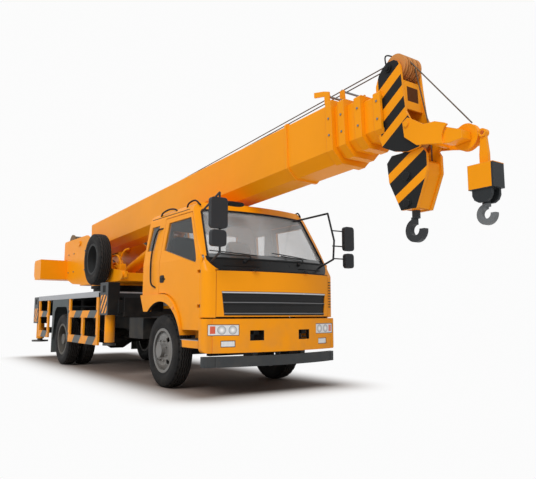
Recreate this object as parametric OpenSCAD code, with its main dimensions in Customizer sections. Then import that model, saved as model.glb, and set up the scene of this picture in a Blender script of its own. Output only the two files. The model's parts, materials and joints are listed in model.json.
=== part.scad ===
// Two-axle truck crane with a four-section telescopic boom, H-shaped outriggers, a driver's cab over
// the engine and an operator's cab on the turntable. Millimetres, forward is +X, up is +Z.

/* [Chassis] */
// Distance between the two axles
wheelbase = 4500; // [4300:50:4700]
// Tyre diameter, a 10R22.5
tyre_d = 1018; // [980:10:1060]
// Tyre section width
tyre_w = 254; // [240:2:270]
// Outer faces of the front tyres
front_width = 2108; // [2060:4:2140]
// Outer faces of the rear twin tyres
rear_width = 2352; // [2300:4:2380]
// Distance between the two tyres of a twin
twin_pitch = 310; // [300:5:330]
// Outer width over the two frame rails
frame_w = 860; // [820:10:900]
// Height of a frame rail
rail_h = 230; // [200:10:250]
// Top of the frame rails above the ground
frame_top = 975; // [960:5:980]

/* [Driver's cab] */
// Half width of the cab at the belt
cab_half = 1070; // [1050:5:1090]
// Middle of the cab's front, ahead of the front axle
cab_front = 1430; // [1400:10:1450]
// Back wall, behind the front axle
cab_rear = -680; // [-720:10:-660]
// Roof height
roof_z = 2550; // [2500:10:2570]
// Thickness of walls, doors and floor
cab_wall = 50; // [40:5:60]
// Lean of the windscreen from the vertical
screen_rake = 32; // [28:1:35]
// Sweep of the front in plan
front_r = 3200; // [2800:100:4000]
// Gap round a door
door_gap = 10; // [8:1:14]

/* [Deck and outriggers] */
// Top of the deck
deck_top = 1410; // [1400:5:1420]
// Half width of the deck
deck_half = 1200; // [1180:5:1220]
// Travel of each outrigger beam
beam_travel = 1200; // [1000:50:1250]
// Height of a beam
beam_h = 220; // [200:10:230]
// Width of a beam
beam_w = 200; // [180:10:210]
// Diameter of a rear jack's foot plate
foot_d = 360; // [320:10:380]
// Diameter of a front jack's foot plate
front_foot_d = 220; // [200:10:240]

/* [Turntable] */
// Slewing axis behind the front axle
slew_x = -4400; // [-4420:10:-4380]
// Slewing ring radius
ring_r = 600; // [560:10:620]
// Half distance over the side plates
plate_half = 600; // [580:5:620]
// Thickness of the side plates
plate_t = 40; // [25:5:50]
// Length of the counterweight along the crane
weight_len = 600; // [520:20:640]

/* [Boom] */
// Boom angle in the travel position
boom_deg = 2.5; // [1.5:0.5:3.5]
// Width of the base section
boom_w = 580; // [560:10:600]
// Height of the base section
boom_h = 690; // [670:10:700]
// Wall of the base section
boom_wall = 15; // [12:1:18]
// Front end of the base section from the foot pin
base_end = 8230; // [8100:10:8260]
// Outer radius of the luff cylinder's barrel
luff_r = 110; // [95:5:120]

/* [Hidden] */
$fn = 48;
orange = [0.94, 0.58, 0.1];
dark = [0.2, 0.21, 0.22];
steel = [0.6, 0.61, 0.62];
rubber = [0.08, 0.08, 0.08];
glass = [0.45, 0.5, 0.52, 0.6];
big = 6000;
// The front axle's place in the shared frame
front_axle_x = 1115;
rear_x = -wheelbase;
axle_z = tyre_d / 2;
tyre_r = tyre_d / 2;
// Bead seat radius of a 22.5-inch rim
rim_r = 286;
// How far the disc of a front wheel stands out from the tyre's middle
front_face = 110;
front_y = front_width / 2 - tyre_w / 2;
rear_outer_y = rear_width / 2 - tyre_w / 2;
rear_inner_y = rear_outer_y - twin_pitch;
king_y = front_y - 160;
rail_out = frame_w / 2;
rail_flange = 75;
frame_bottom = frame_top - rail_h;
seat_gap = 0.5;
// Sill over the front wheel, foot of the doors and foot of the front panel
sill_z = 1300;
door_foot = 815;
panel_foot = 985;
floor_z = 1150;
arch = [40, 690];
arch_r = 610;
belt_z = 1580;
mirror_x = 1490;
// Hinge line of the front lid, just outside its upper edge
lid_x = cab_front + 4;
lid_z = belt_z - 2;
lid_knuckle_y = 420;
// Door hinge line, at half the wall
hinge_x = 1113;
hinge_y = cab_half - cab_wall / 2;
nose_r = cab_wall / 2;
door_back = -100;
door_top = 2400;
hinge_levels = [1120, 1560];
// Rounding of the cab's front corners below and above the belt
corner_r = 130;
pillar_r = 70;
corner_flats = 6;
grille_flats = 16;
// Outriggers
front_legs_x = -2010;
rear_legs_x = rear_x - 2070;
beam_z = 1030;
leg_half = 190;
leg_in = deck_half - 205;
leg_out = deck_half;
housing_half = 250;
housing_reach = leg_in - 65;
jack_y = deck_half - 120;
// Feet of the stowed jacks, and of the tubes above them
front_foot_z = 490;
rear_foot_z = 380;
front_tube_z = 540;
rear_tube_z = 450;
// Ends of the deck, the frame rails and the guards
deck_front = front_legs_x - 260;
deck_rear = rear_x - 2430;
frame_rear = rear_x - 2350;
guard_front = rear_x + 490;
guard_rear = rear_x - 1000;
// Joint between the two deck panels, ahead of the rear legs
deck_split = rear_legs_x + leg_half + 12;
// Rear end of the subframe, and its top just under the deck's sheet
sub_rear = rear_legs_x + housing_half + 520;
deck_sheet = 12;
deck_seat = deck_top - deck_sheet - 0.3;
// Rear mudguards
flap_x = rear_x - 650;
mud_front = rear_x + 460;
mud_clear = 6;
mud_in = max(rear_width / 2 + mud_clear, deck_half - 18);
mud_out = mud_in + 13;
// Front face of the counterweight and the winch's axis
tail_x = slew_x - 1950;
winch_x = tail_x + 70;
winch_z = 2660;
jack_r = 85;
rod_r = 60;
// Boom
pivot = [-5400, 0, 2600];
boom_low = -200;
sections = [[boom_w, boom_h, boom_wall, -170, base_end],
    [boom_w - 70, boom_h - 80, 12, 350, base_end + 170],
    [boom_w - 134, boom_h - 150, 12, 450, base_end + 400],
    [boom_w - 196, boom_h - 220, 12, 550, base_end + 655]];
boom_mid = boom_low + boom_h / 2;
head_u = base_end + 655;
upper_pin = [head_u + 165, 625];
lower_pin = [head_u + 239, -152];
jib_pin = [head_u + 315, -75];
jib_sheave = [head_u + 871, -350];
// Spare wheel on the turntable's right side
spare_x = -3650;
spare_z = 2090;
spare_out = 180;
// Operator's cab and the hinge line of its door
op_x0 = -5000;
op_x1 = -3420;
op_y0 = 640;
op_y1 = 1190;
op_z0 = 1640;
op_top = 3040;
op_hinge_x = op_x1 - 30;
op_hinge_y = op_y1 + 15;
// Luff cylinder's foot and its bracket along the boom
luff_foot = [-4300, 1810];
luff_eye = [3480, -310];
// Rest direction of the luff cylinder
luff_tip = [pivot.x + luff_eye.x * cos(boom_deg) - luff_eye.y * sin(boom_deg),
    pivot.z + luff_eye.x * sin(boom_deg) + luff_eye.y * cos(boom_deg)];
luff_len = norm(luff_tip - luff_foot);
luff_deg = atan2(luff_tip.y - luff_foot.y, luff_tip.x - luff_foot.x);
// World place of a point of the boom
function boom_point(p) = [pivot.x + p.x * cos(boom_deg) - p.y * sin(boom_deg), 0,
    pivot.z + p.x * sin(boom_deg) + p.y * cos(boom_deg)];
hang = boom_point(lower_pin);
aux_hang = boom_point(jib_sheave);

module box(x0, x1, y0, y1, z0, z1) translate([x0, y0, z0]) cube([x1 - x0, y1 - y0, z1 - z0]);
// Extrudes an outline in X and Z across the crane
module across(y0, y1) translate([0, y1, 0]) rotate([90, 0, 0]) linear_extrude(y1 - y0) children();
// Extrudes an outline in Y and Z along the crane
module along(x0, x1) translate([x0, 0, 0]) rotate([90, 0, 90]) linear_extrude(x1 - x0) children();
module y_rod(x, z, r, y0, y1) translate([x, y1, z]) rotate([90, 0, 0]) cylinder(h = y1 - y0, r = r);
module x_rod(y, z, r, x0, x1) translate([x0, y, z]) rotate([0, 90, 0]) cylinder(h = x1 - x0, r = r);
module z_rod(x, y, r, z0, z1) translate([x, y, z0]) cylinder(h = z1 - z0, r = r);
module both_sides() { children(); mirror([0, 1, 0]) children(); }
module side(left) { if (left) children(); else mirror([0, 1, 0]) children(); }
// Round bar between two points
module bar(a, b, r) {
    d = b - a;
    translate(a) rotate([0, acos(d.z / norm(d)), atan2(d.y, d.x)]) cylinder(h = norm(d), r = r);
}
function arc(c, r, a0, a1, n) = [for (i = [0 : n]) let (a = a0 + (a1 - a0) * i / n) c + r * [cos(a), sin(a)]];
// Rectangle with rounded corners
module rounded(x0, x1, y0, y1, r) {
    polygon(concat(arc([x1 - r, y1 - r], r, 0, 90, 6), arc([x0 + r, y1 - r], r, 90, 180, 6),
        arc([x0 + r, y0 + r], r, 180, 270, 6), arc([x1 - r, y0 + r], r, 270, 360, 6)));
}
// What a rounding of radius r about the middle c takes off a front corner of the plan, in flats
module corner_waste(c, r, from_deg, to_deg) {
    rim = arc(c, r, to_deg, from_deg, corner_flats);
    half_deg = (from_deg + to_deg) / 2;
    polygon(concat([4 * rim[0] - 3 * rim[1]], [for (i = [1 : corner_flats - 1]) rim[i]],
        [4 * rim[corner_flats] - 3 * rim[corner_flats - 1]], [c + 800 * [cos(half_deg), sin(half_deg)]]));
}
module placed() translate([front_axle_x, 0, 0]) children();
module on_boom() translate(pivot) rotate([0, -boom_deg, 0]) children();
module on_luff() translate([luff_foot.x, 0, luff_foot.y]) rotate([0, -luff_deg, 0]) children();

// Frame, axles and drive

module rail() {
    difference() {
        box(frame_rear, 1150, rail_out - rail_flange, rail_out, frame_bottom, frame_top);
        box(frame_rear - 50, 1200, rail_out - rail_flange - 1, rail_out - 10,
            frame_bottom + 10, frame_top - 10);
    }
}
module chassis_frame() {
    color(dark) {
        both_sides() rail();
        for (x = [frame_rear + 90, rear_x - 1150, rear_x + 1000, -2600, -1350, 1080])
            box(x - 50, x + 50, 10 - rail_out, rail_out - 10, frame_bottom + 30, frame_top - 30);
    }
}
module axle_beam_end() {
    difference() {
        union() {
            z_rod(0, king_y, 55, axle_z - 80, axle_z + 80);
            box(-45, 45, 300, king_y, axle_z - 70, axle_z + 20);
        }
        z_rod(0, king_y, 30 + seat_gap, 0, 900);
    }
}
module axles() {
    color(dark) {
        both_sides() axle_beam_end();
        box(-45, 45, -301, 301, axle_z - 110, axle_z - 10);
        translate([rear_x, 0, axle_z]) rotate([90, 0, 0]) rotate_extrude()
            polygon([[0, 80 - rear_outer_y], [60, 80 - rear_outer_y], [60, 190 - rear_inner_y],
                [80, 190 - rear_inner_y], [95, -330], [215, -130], [215, 130], [95, 330],
                [80, rear_inner_y - 190], [60, rear_inner_y - 190],
                [60, rear_outer_y - 80], [0, rear_outer_y - 80]]);
    }
}
// One leaf pack, its ends held by hangers under the rail
module spring_pack(x, seat_z, half) {
    bow = frame_bottom - 70 - seat_z;
    r = (half * half + bow * bow) / (2 * bow);
    for (leaf = [0 : 4]) {
        reach = half * (0.42 + 0.145 * leaf);
        intersection() {
            difference() {
                y_rod(x, seat_z + r + leaf * 14, r, rail_out - 78, rail_out - 2);
                y_rod(x, seat_z + r + leaf * 14, r - 14, rail_out - 90, rail_out + 10);
            }
            box(x - reach, x + reach, 0, big, 0, seat_z + bow + 60);
        }
    }
    for (end = [-1, 1])
        box(x + end * half - 45, x + end * half + 45, rail_out - 80, rail_out, seat_z + bow - 10, frame_bottom);
}
module leaf_springs() {
    color(dark) both_sides() {
        difference() {
            union() {
                spring_pack(0, axle_z + 22, 700);
                box(-60, 60, rail_out - 90, rail_out + 12, axle_z + 20, axle_z + 110);
            }
            box(-80, 80, 0, 900, 0, axle_z + 20);
        }
        difference() {
            union() {
                spring_pack(rear_x, axle_z + 82, 700);
                box(rear_x - 90, rear_x + 90, rail_out - 90, rail_out + 12, axle_z - 20, axle_z + 160);
            }
            y_rod(rear_x, axle_z, 95, 100, 900);
        }
    }
}
module drive_train() {
    color(dark) {
        box(-560, 700, -300, 300, 640, 1040);
        box(-1200, -559, -170, 170, 640, 880);
        bar([-1199, 0, 690], [rear_x + 214.5, 0, axle_z + 20], 45);
    }
}
module tanks() {
    color(dark) {
        difference() {
            box(-1110, -580, -1090, -rail_out - 0.3, 650, 960);
            box(-1080, -610, -1060, -470, 680, 930);
        }
        x_rod(rail_out + 322, 760, 240, -1620, -760);
        for (x = [-1500, -900]) box(x - 30, x + 30, rail_out, rail_out + 110, 700, 960);
    }
}

// Wheels

module tyre(y) {
    shoulder = tyre_w * 0.42;
    translate([0, y, 0]) rotate([90, 0, 0]) rotate_extrude($fn = 96)
        polygon(concat([[rim_r + 0.3, -95], [rim_r + 30, -105], [rim_r + 105, -tyre_w / 2]],
            [[tyre_r - 55, -tyre_w / 2 + 8]], arc([tyre_r - 24, -shoulder + 24], 24, 240, 360, 4),
            arc([tyre_r - 24, shoulder - 24], 24, 0, 120, 4),
            [[tyre_r - 55, tyre_w / 2 - 8], [rim_r + 105, tyre_w / 2], [rim_r + 30, 105], [rim_r + 0.3, 95]]));
}
// Disc wheel whose disc stands out to +Y by face, with hand holes and a hub bore for the spindle
module rim(face, spindle_r) {
    inner = rim_r - 14;
    difference() {
        rotate([-90, 0, 0]) rotate_extrude($fn = 96)
            polygon([[rim_r, -100], [rim_r + 24, -104], [rim_r + 24, -112], [inner, -112], [inner, 52],
                [200, face - 18], [115, face - 16], [110, face - 90], [spindle_r, face - 90], [spindle_r, face],
                [206, face], [inner, 74], [inner, 112], [rim_r + 24, 112], [rim_r + 24, 104], [rim_r, 100]]);
        for (a = [0 : 3]) rotate([0, a * 90 + 45, 0]) y_rod(214, 0, 38, -300, 300);
    }
    for (a = [0 : 7]) rotate([0, a * 45 + 22.5, 0]) y_rod(145, 0, 14, face - 4, face + 26);
}
module hub_cap(r, y0, y1) rotate([90, 0, 0]) translate([0, 0, -y1]) cylinder(h = y1 - y0, r = r);
module front_tyre(left) color(rubber) side(left) translate([0, 0, axle_z]) tyre(front_y);
module front_rim(left) color(steel) side(left) translate([0, front_y, axle_z]) {
    rim(front_face, 45 + seat_gap);
    hub_cap(95, front_face - 10, front_face + 60);
}
module rear_tyres(left) color(rubber) side(left) translate([rear_x, 0, axle_z]) {
    tyre(rear_outer_y);
    tyre(rear_inner_y);
}
module rear_rims(left) color(steel) side(left) translate([rear_x, 0, axle_z]) {
    translate([0, rear_inner_y, 0]) rim(twin_pitch / 2, 60 + seat_gap);
    translate([0, rear_outer_y, 0]) mirror([0, 1, 0]) rim(twin_pitch / 2, 60 + seat_gap);
    translate([0, rear_outer_y, 0]) hub_cap(105, -twin_pitch / 2 + 80, 90);
}
module knuckle(left) {
    color(dark) side(left) {
        z_rod(0, king_y, 30, axle_z - 140, axle_z + 140);
        for (z = [axle_z - 140, axle_z + 90]) box(-50, 50, king_y - 55, king_y + 110, z, z + 50);
        box(-50, 50, king_y + 70, king_y + 110, axle_z - 140, axle_z + 140);
        y_rod(0, axle_z, 45, king_y + 100, front_y + front_face - 12);
        box(-260, -30, king_y - 55, king_y - 15, axle_z - 140, axle_z - 105);
    }
}

// Driver's cab

// The cab's outer form, or the same form drawn in by t
function corner_reach(r) = sqrt(pow(front_r - r, 2) - pow(cab_half - r, 2));
function corner_middle(r) = [cab_front - front_r + corner_reach(r), cab_half - r];
function corner_deg(r) = asin((cab_half - r) / (front_r - r));
module cab_corner(r, t) corner_waste(corner_middle(r), r - t, corner_deg(r), 90);
module cab_form(t) {
    difference() {
        cab_block(t);
        both_sides() translate([0, 0, 500]) linear_extrude(2500) cab_corner(corner_r, t);
        both_sides() translate([cab_front, 0, belt_z]) rotate([0, -screen_rake, 0])
            translate([-cab_front, 0, -1500]) linear_extrude(4000) cab_corner(pillar_r, t);
    }
}
module cab_block(t) {
    intersection() {
        box(cab_rear + t, 2000, -cab_half + t, cab_half - t, 500, 3000);
        along(cab_rear - 100, 2000) polygon(concat(
            [[-cab_half + t, 0], [cab_half - t, 0], [cab_half - t, 1750]],
            arc([cab_half - 260, roof_z - 160], 160 - t, 8, 82, 6),
            arc([260 - cab_half, roof_z - 160], 160 - t, 98, 172, 6), [[-cab_half + t, 1750]]));
        translate([cab_front - front_r, 0, 0]) cylinder(h = 3000, r = front_r - t, $fn = 360);
        translate([cab_front, 0, belt_z]) rotate([0, -screen_rake, 0]) translate([-front_r, 0, -1500])
            cylinder(h = 4000, r = front_r - t, $fn = 360);
    }
}
module arch_cut(g) {
    box(-big, arch.x, -big, big, 0, sill_z + g);
    y_rod(arch.x, arch.y, arch_r + g, -big, big);
    box(-big, arch.x + arch_r + g, -big, big, 0, arch.y);
    box(hinge_x + nose_r + 1, big, -big, big, 0, panel_foot - 10);
}
module cab_walls() {
    difference() {
        cab_form(0);
        difference() {
            cab_form(cab_wall);
            box(cab_rear, big, -840, 840, floor_z - cab_wall, floor_z);
        }
        arch_cut(0);
        box(-big, big, -big, big, 0, door_foot);
    }
}
// A door's outline in X and Z, grown by g
module door_outline(g) {
    polygon([[door_back - g, door_foot - g], [hinge_x, door_foot - g], [hinge_x, 1740],
        [690 + 1.3 * g, door_top + g], [door_back - g, door_top + g]]);
}
module door_window(g) {
    polygon([[-20 + g, 1930 + g], [990 - g, 1680 + g], [1010 - g, 1720], [1000 - g, 1770], [690 - g, 2330 - g],
        [10 + g, 2330 - g]]);
}
module quarter_window(g) {
    polygon([[cab_rear + 60 + g, 1960 + g], [-390 - g, 1960 + g], [-300 - g, 2330 - g],
        [cab_rear + 110 + g, 2330 - g]]);
}
module screen_outline(g) {
    polygon([[-975 + g, belt_z + 150 + g], [975 - g, belt_z + 150 + g], [865 - g, roof_z - 115 - g],
        [g - 865, roof_z - 115 - g]]);
}
module rear_window(g) {
    polygon([[-600 + g, 1960 + g], [600 - g, 1960 + g], [600 - g, 2320 - g], [g - 600, 2320 - g]]);
}
module cab_shell() {
    color(orange) {
        difference() {
            cab_walls();
            both_sides() {
                across(cab_half - 300, big) door_outline(door_gap);
                z_rod(hinge_x, hinge_y, nose_r + 9, door_foot - 50, 1775);
                across(cab_half - 300, big) quarter_window(0);
            }
            along(700, big) screen_outline(0);
            along(cab_rear - 100, 0) rear_window(0);
            box(1000, big, -930, 930, 0, belt_z);
        }
        intersection() {
            box(cab_rear, 1060, -840, 840, floor_z - cab_wall, sill_z + 30);
            difference() {
                box(cab_rear, 1060, -840, 840, 0, big);
                box(cab_rear + cab_wall, big, -800, 800, floor_z, big);
            }
        }
        both_sides() {
            box(cab_rear, door_back - door_gap, 839, cab_half - 40, sill_z, sill_z + 30);
            box(door_back - door_gap - 1, 20, 839, cab_half - cab_wall - 6, sill_z, sill_z + 30);
            for (x = [-620, 930])
                box(x, x + 100, rail_out - 75, rail_out, frame_top + 0.3, floor_z - cab_wall + 1);
            y_rod(lid_x, lid_z, 7, lid_knuckle_y - 35, lid_knuckle_y + 35);
            box(lid_x - 60, lid_x, lid_knuckle_y - 15, lid_knuckle_y + 15, lid_z, lid_z + 24);
            for (z = hinge_levels) {
                box(hinge_x, hinge_x + 60, hinge_y - 12, hinge_y + 12, z - 14, z + 14);
                z_rod(hinge_x, hinge_y, 9, z - 50, z + 50);
            }
        }
    }
}
module cab_pane() {
    intersection() {
        difference() { cab_form(14); cab_form(20); }
        children();
    }
}
module cab_glass() {
    color(glass) {
        cab_pane() along(700, big) screen_outline(0.3);
        cab_pane() along(cab_rear - 100, -400) rear_window(0.3);
        both_sides() cab_pane() across(cab_half - 300, big) quarter_window(0.3);
    }
}
module door(left) {
    color(orange) side(left) difference() {
        union() {
            intersection() {
                difference() { cab_form(0); cab_form(cab_wall); }
                across(cab_half - 300, big) door_outline(0);
            }
            z_rod(hinge_x, hinge_y, nose_r, door_foot, 1740);
        }
        arch_cut(door_gap);
        across(cab_half - 300, big) door_window(0);
        for (z = hinge_levels) {
            box(hinge_x - 60, hinge_x + 60, hinge_y - 100, hinge_y + 100, z - 20, z + 20);
            z_rod(hinge_x, hinge_y, 9.4, z - 56, z + 56);
        }
    }
}
module door_glass(left) color(glass) side(left) cab_pane() across(cab_half - 300, big) door_window(0.3);
module seat(y) {
    box(-420, 40, y - 240, y + 240, floor_z + 0.3, floor_z + 380);
    across(y - 240, y + 240)
        polygon([[-420, floor_z + 380], [-300, floor_z + 380], [-420, floor_z + 1050], [-520, floor_z + 1050]]);
}
module cab_inside() {
    color(dark) {
        seat(500);
        seat(-500);
        across(-790, 790) polygon([[900, floor_z + 0.3], [1040, floor_z + 0.3], [1050, 1480], [1120, 1500],
            [1120, 1580], [820, 1580], [820, 1450]]);
        bar([860, 500, 1480], [620, 500, 1640], 30);
        translate([610, 500, 1646]) rotate([0, -56, 0]) {
            rotate_extrude() translate([215, 0]) circle(16);
            for (a = [0, 120, 240]) rotate([0, 0, a]) x_rod(0, 0, 12, 0, 210);
        }
    }
}
// Bowed front sheet, t thick, with its outer face d ahead of the cab's front
module bowed(d, t, half) {
    intersection() {
        translate([cab_front - front_r, 0, 0]) difference() {
            cylinder(h = 3000, r = front_r + d, $fn = 360);
            translate([0, 0, -1]) cylinder(h = 3002, r = front_r + d - t, $fn = 360);
        }
        box(800, 2000, -half, half, 0, 3000);
        children();
    }
}
module grille_outline(g) {
    polygon([[g - 825, 1000 + g], [825 - g, 1000 + g], [858 - g, 1306 - g], [g - 858, 1306 - g]]);
}
module front_panel() {
    color(orange) {
        difference() {
            bowed(0, cab_wall, 924) box(1000, 2000, -924, 924, panel_foot, belt_z - 6);
            along(0, 2000) grille_outline(0);
        }
        both_sides() for (y = [lid_knuckle_y - 40, lid_knuckle_y + 18]) difference() {
            union() {
                y_rod(lid_x, lid_z, 12, y, y + 22);
                box(lid_x - 50, lid_x, y, y + 22, lid_z - 12, lid_z - 4);
            }
            y_rod(lid_x, lid_z, 7.4, 0, 900);
        }
    }
}
// The same bow in flats, for sheets whose ends slant
module bowed_flats(d, t, z0, z1) {
    middle = [cab_front - front_r, 0];
    reach = asin(870 / front_r);
    translate([0, 0, z0]) linear_extrude(z1 - z0)
        polygon(concat(arc(middle, front_r + d, -reach, reach, grille_flats),
            arc(middle, front_r + d - t, reach, -reach, grille_flats)));
}
module grille() {
    color(dark) {
        intersection() {
            bowed_flats(-14, 20, 900, 1400);
            along(0, 2000) grille_outline(0.3);
        }
        for (z = [1012, 1150, 1281]) intersection() {
            bowed_flats(2, 24, z, z + 20);
            along(0, 2000) grille_outline(3);
        }
    }
}
module headlamp_panel() {
    color(orange) {
        difference() {
            intersection() {
                union() {
                    bowed(8, 60, 1090) box(0, 2000, -1090, 1090, 535, 960);
                    both_sides() box(hinge_x + nose_r + 6, 1250, 1030, 1090, 535, 960);
                }
                along(900, 2000) rounded(-1090, 1090, 535, 1060, 60);
            }
            both_sides() translate([0, 0, 500]) linear_extrude(500) corner_waste([1195, 1015], 75, 0, 90);
            both_sides() {
                box(1000, 2000, 630, 1030, 750, 890);
                box(1000, 2000, 680, 870, 607, 690);
                box(1000, 2000, 285, 485, 685, 812);
            }
        }
        both_sides() box(1150.3, 1400, rail_out - 75, rail_out - 5, 760, 960);
    }
}
module lamps() {
    color(glass) both_sides() {
        bowed(2, 50, 1084) box(0, 2000, 630.3, 1029.7, 750.3, 889.7);
        bowed(2, 50, 1084) box(0, 2000, 680.3, 869.7, 607.3, 689.7);
    }
}
// Front bumper bar and rear underrun bar
module bumpers() {
    color(dark) {
        difference() {
            bowed(14, 90, 1070) box(0, 2000, -1070, 1070, 362, 492);
            both_sides() translate([0, 0, 300]) linear_extrude(300) corner_waste([1205, 985], 85, 0, 90);
        }
        both_sides() {
            box(1150, 1380, rail_out - 75, rail_out - 5, 440, 534);
            box(1150.3, 1300, rail_out - 75, rail_out - 5, 534, 758);
            box(frame_rear - 45, frame_rear - 0.3, 300, 420, 690, 930);
        }
        box(frame_rear - 50, frame_rear - 5, -930, 930, 560, 700);
    }
}
// Tail of a fender behind the arch, with a slanted end
module fender_tail() {
    polygon([[cab_rear - 10, sill_z - 0.3], [cab_rear + 120, 1050], [arch.x, 1050], [arch.x, sill_z - 0.3]]);
}
module fenders() {
    color(orange) both_sides() {
        difference() {
            union() {
                difference() {
                    intersection() {
                        union() {
                            y_rod(arch.x, arch.y, arch_r - 0.3, 845, cab_half + 32);
                            across(845, cab_half + 32) fender_tail();
                            box(arch.x, arch.x + arch_r - 0.3, 845, cab_half + 32, 590, arch.y);
                        }
                        box(cab_rear - 10, big, 0, big, 590, sill_z - 0.3);
                    }
                    box(-big, 0, 0, big, 0, 1050);
                    y_rod(0, axle_z, 685, 0, big);
                }
            }
            box(-420, 330, 0, cab_half - 10, 0, sill_z - 60);
        }
        difference() {
            box(arch.x + arch_r - 20, hinge_x, 845, cab_half + 10, 590, 690);
            box(arch.x + arch_r, hinge_x - 30, 800, cab_half - 30, 580, 665);
        }
        box(arch.x + arch_r - 40, hinge_x, 845, 870, 690, floor_z - cab_wall);
    }
}
// Housing of a mirror, across from y0 to y1
module mirror_case(y0, y1, z0, z1) along(mirror_x + 6, mirror_x + 70) rounded(y0, y1, z0, z1, 45);
// The right pair hangs on its bar and the left pair stands outside its bar on short stays
module mirrors() {
    color(dark) difference() {
        union() {
            side(false) {
                bar([700, 860, 2380], [mirror_x, 1010, 2525], 14);
                bar([mirror_x, 1010, 2531], [mirror_x, 1000, 1770], 14);
                bar([mirror_x, 1000, 1778], [1150, 940, 1670], 14);
                mirror_case(930, 1170, 2065, 2450);
                mirror_case(945, 1160, 1842, 2045);
            }
            side(true) {
                bar([760, 640, 2390], [mirror_x, 775, 2440], 14);
                bar([mirror_x, 773, 2446], [mirror_x, 890, 2060], 14);
                bar([mirror_x, 890, 2066], [mirror_x, 868, 1780], 14);
                bar([mirror_x, 868, 1788], [1190, 860, 1690], 14);
                for (z = [2200, 1980, 1800]) bar([mirror_x + 2, 855, z], [mirror_x + 30, 1060, z], 9);
                mirror_case(1035, 1215, 1920, 2268);
                mirror_case(1045, 1205, 1670, 1880);
            }
        }
        cab_form(-0.3);
    }
}

// Deck, subframe and outriggers

module subframe() {
    color(dark) {
        difference() {
            box(sub_rear, slew_x + 1800, -550, 550, frame_top, deck_seat);
            box(sub_rear + 20, slew_x + 1780, -530, 530, frame_top - 1, deck_seat - 20);
        }
        z_rod(slew_x, 0, ring_r - 40, deck_seat - 18, 1570);
        z_rod(slew_x, 0, ring_r + 10, 1550, 1600);
        for (x = [front_legs_x - housing_half - 160, rear_legs_x + housing_half + 30])
            both_sides() box(x, x + 120, rail_out - 75, rail_out, frame_top, deck_seat);
    }
}
// A folded panel with rims turned down on all sides
module deck_panel(x0, x1, half) {
    difference() {
        box(x0, x1, -half, half, deck_top - 100, deck_top);
        box(x0 + 20, x1 - 20, -half + 20, half - 20, deck_top - 101, deck_top - deck_sheet);
    }
}
module deck() {
    color(steel) {
        difference() {
            deck_panel(deck_split, deck_front, deck_half);
            z_rod(slew_x, 0, ring_r - 30, 0, big);
        }
        deck_panel(deck_rear, deck_split - 0.3, leg_in - 20);
    }
}
module housing(x) {
    difference() {
        box(x - housing_half, x + housing_half, -housing_reach, housing_reach, frame_top, deck_top - 112);
        for (s = [-1, 1])
            box(x + s * 118 - beam_w / 2 - 5, x + s * 118 + beam_w / 2 + 5, -housing_reach - 70,
                housing_reach + 70, beam_z - seat_gap, beam_z + beam_h + seat_gap);
    }
}
module outrigger_housings() color(dark) { housing(front_legs_x); housing(rear_legs_x); }
// A beam with the sleeve of its leg at its outer end
module beam(x, shift, z0, z1, tube_z, left) {
    color(dark) side(left) difference() {
        union() {
            box(x + shift - beam_w / 2, x + shift + beam_w / 2, 50 - housing_reach, leg_in + 20,
                beam_z, beam_z + beam_h);
            box(x - leg_half, x + leg_half, leg_in, leg_out, z0, z1);
            z_rod(x, jack_y, jack_r, tube_z, z1);
        }
        z_rod(x, jack_y, rod_r + seat_gap, 0, z1 - 30);
        box(x + shift - beam_w / 2 + 15, x + shift + beam_w / 2 - 15, 30 - housing_reach, leg_in - 20,
            beam_z + 15, beam_z + beam_h - 15);
    }
}
module jack(x, top, foot_z, plate_d, left) {
    color(steel) side(left) {
        z_rod(x, jack_y, rod_r, foot_z + 10, top);
        z_rod(x, jack_y, plate_d / 2, foot_z, foot_z + 35);
    }
}
module frame_bar(x0, x1, z0, z1) box(x0, x1, deck_half - 40, deck_half - 5, z0, z1);
module side_guards() {
    color(orange) both_sides() {
        frame_bar(guard_front, guard_front + 100, 480, deck_top - 100.3);
        frame_bar(deck_front - 120, deck_front - 10, 480, deck_top - 100.3);
        frame_bar(guard_front, deck_front - 10, 950, 1080);
        frame_bar(guard_front, deck_front - 10, 480, 620);
        frame_bar((guard_front + deck_front) / 2 - 60, (guard_front + deck_front) / 2 + 50, 480, 1080);
        for (x = [rear_legs_x + 230, guard_rear - 100]) frame_bar(x, x + 100, 510, deck_top - 100.3);
        frame_bar(rear_legs_x + 230, guard_rear, 950, 1080);
        frame_bar(rear_legs_x + 230, guard_rear, 510, 650);
    }
}
module mudguards() {
    color(dark) both_sides() {
        difference() {
            box(flap_x - 10, mud_front, mud_in, mud_out, 520, deck_top - 100.3);
            across(mud_in - 40, mud_out + 5) translate([rear_x, 0])
                polygon([[-610, 510], [-510, 1060], [-360, 1160], [320, 1160], [410, 1060], [410, 510]]);
        }
        box(flap_x - 10, mud_front, 560, mud_out - 1, 1160, 1180);
        box(flap_x - 30, flap_x, 600, mud_out, 210, deck_top - 100.3);
    }
}

// Turntable

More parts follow.
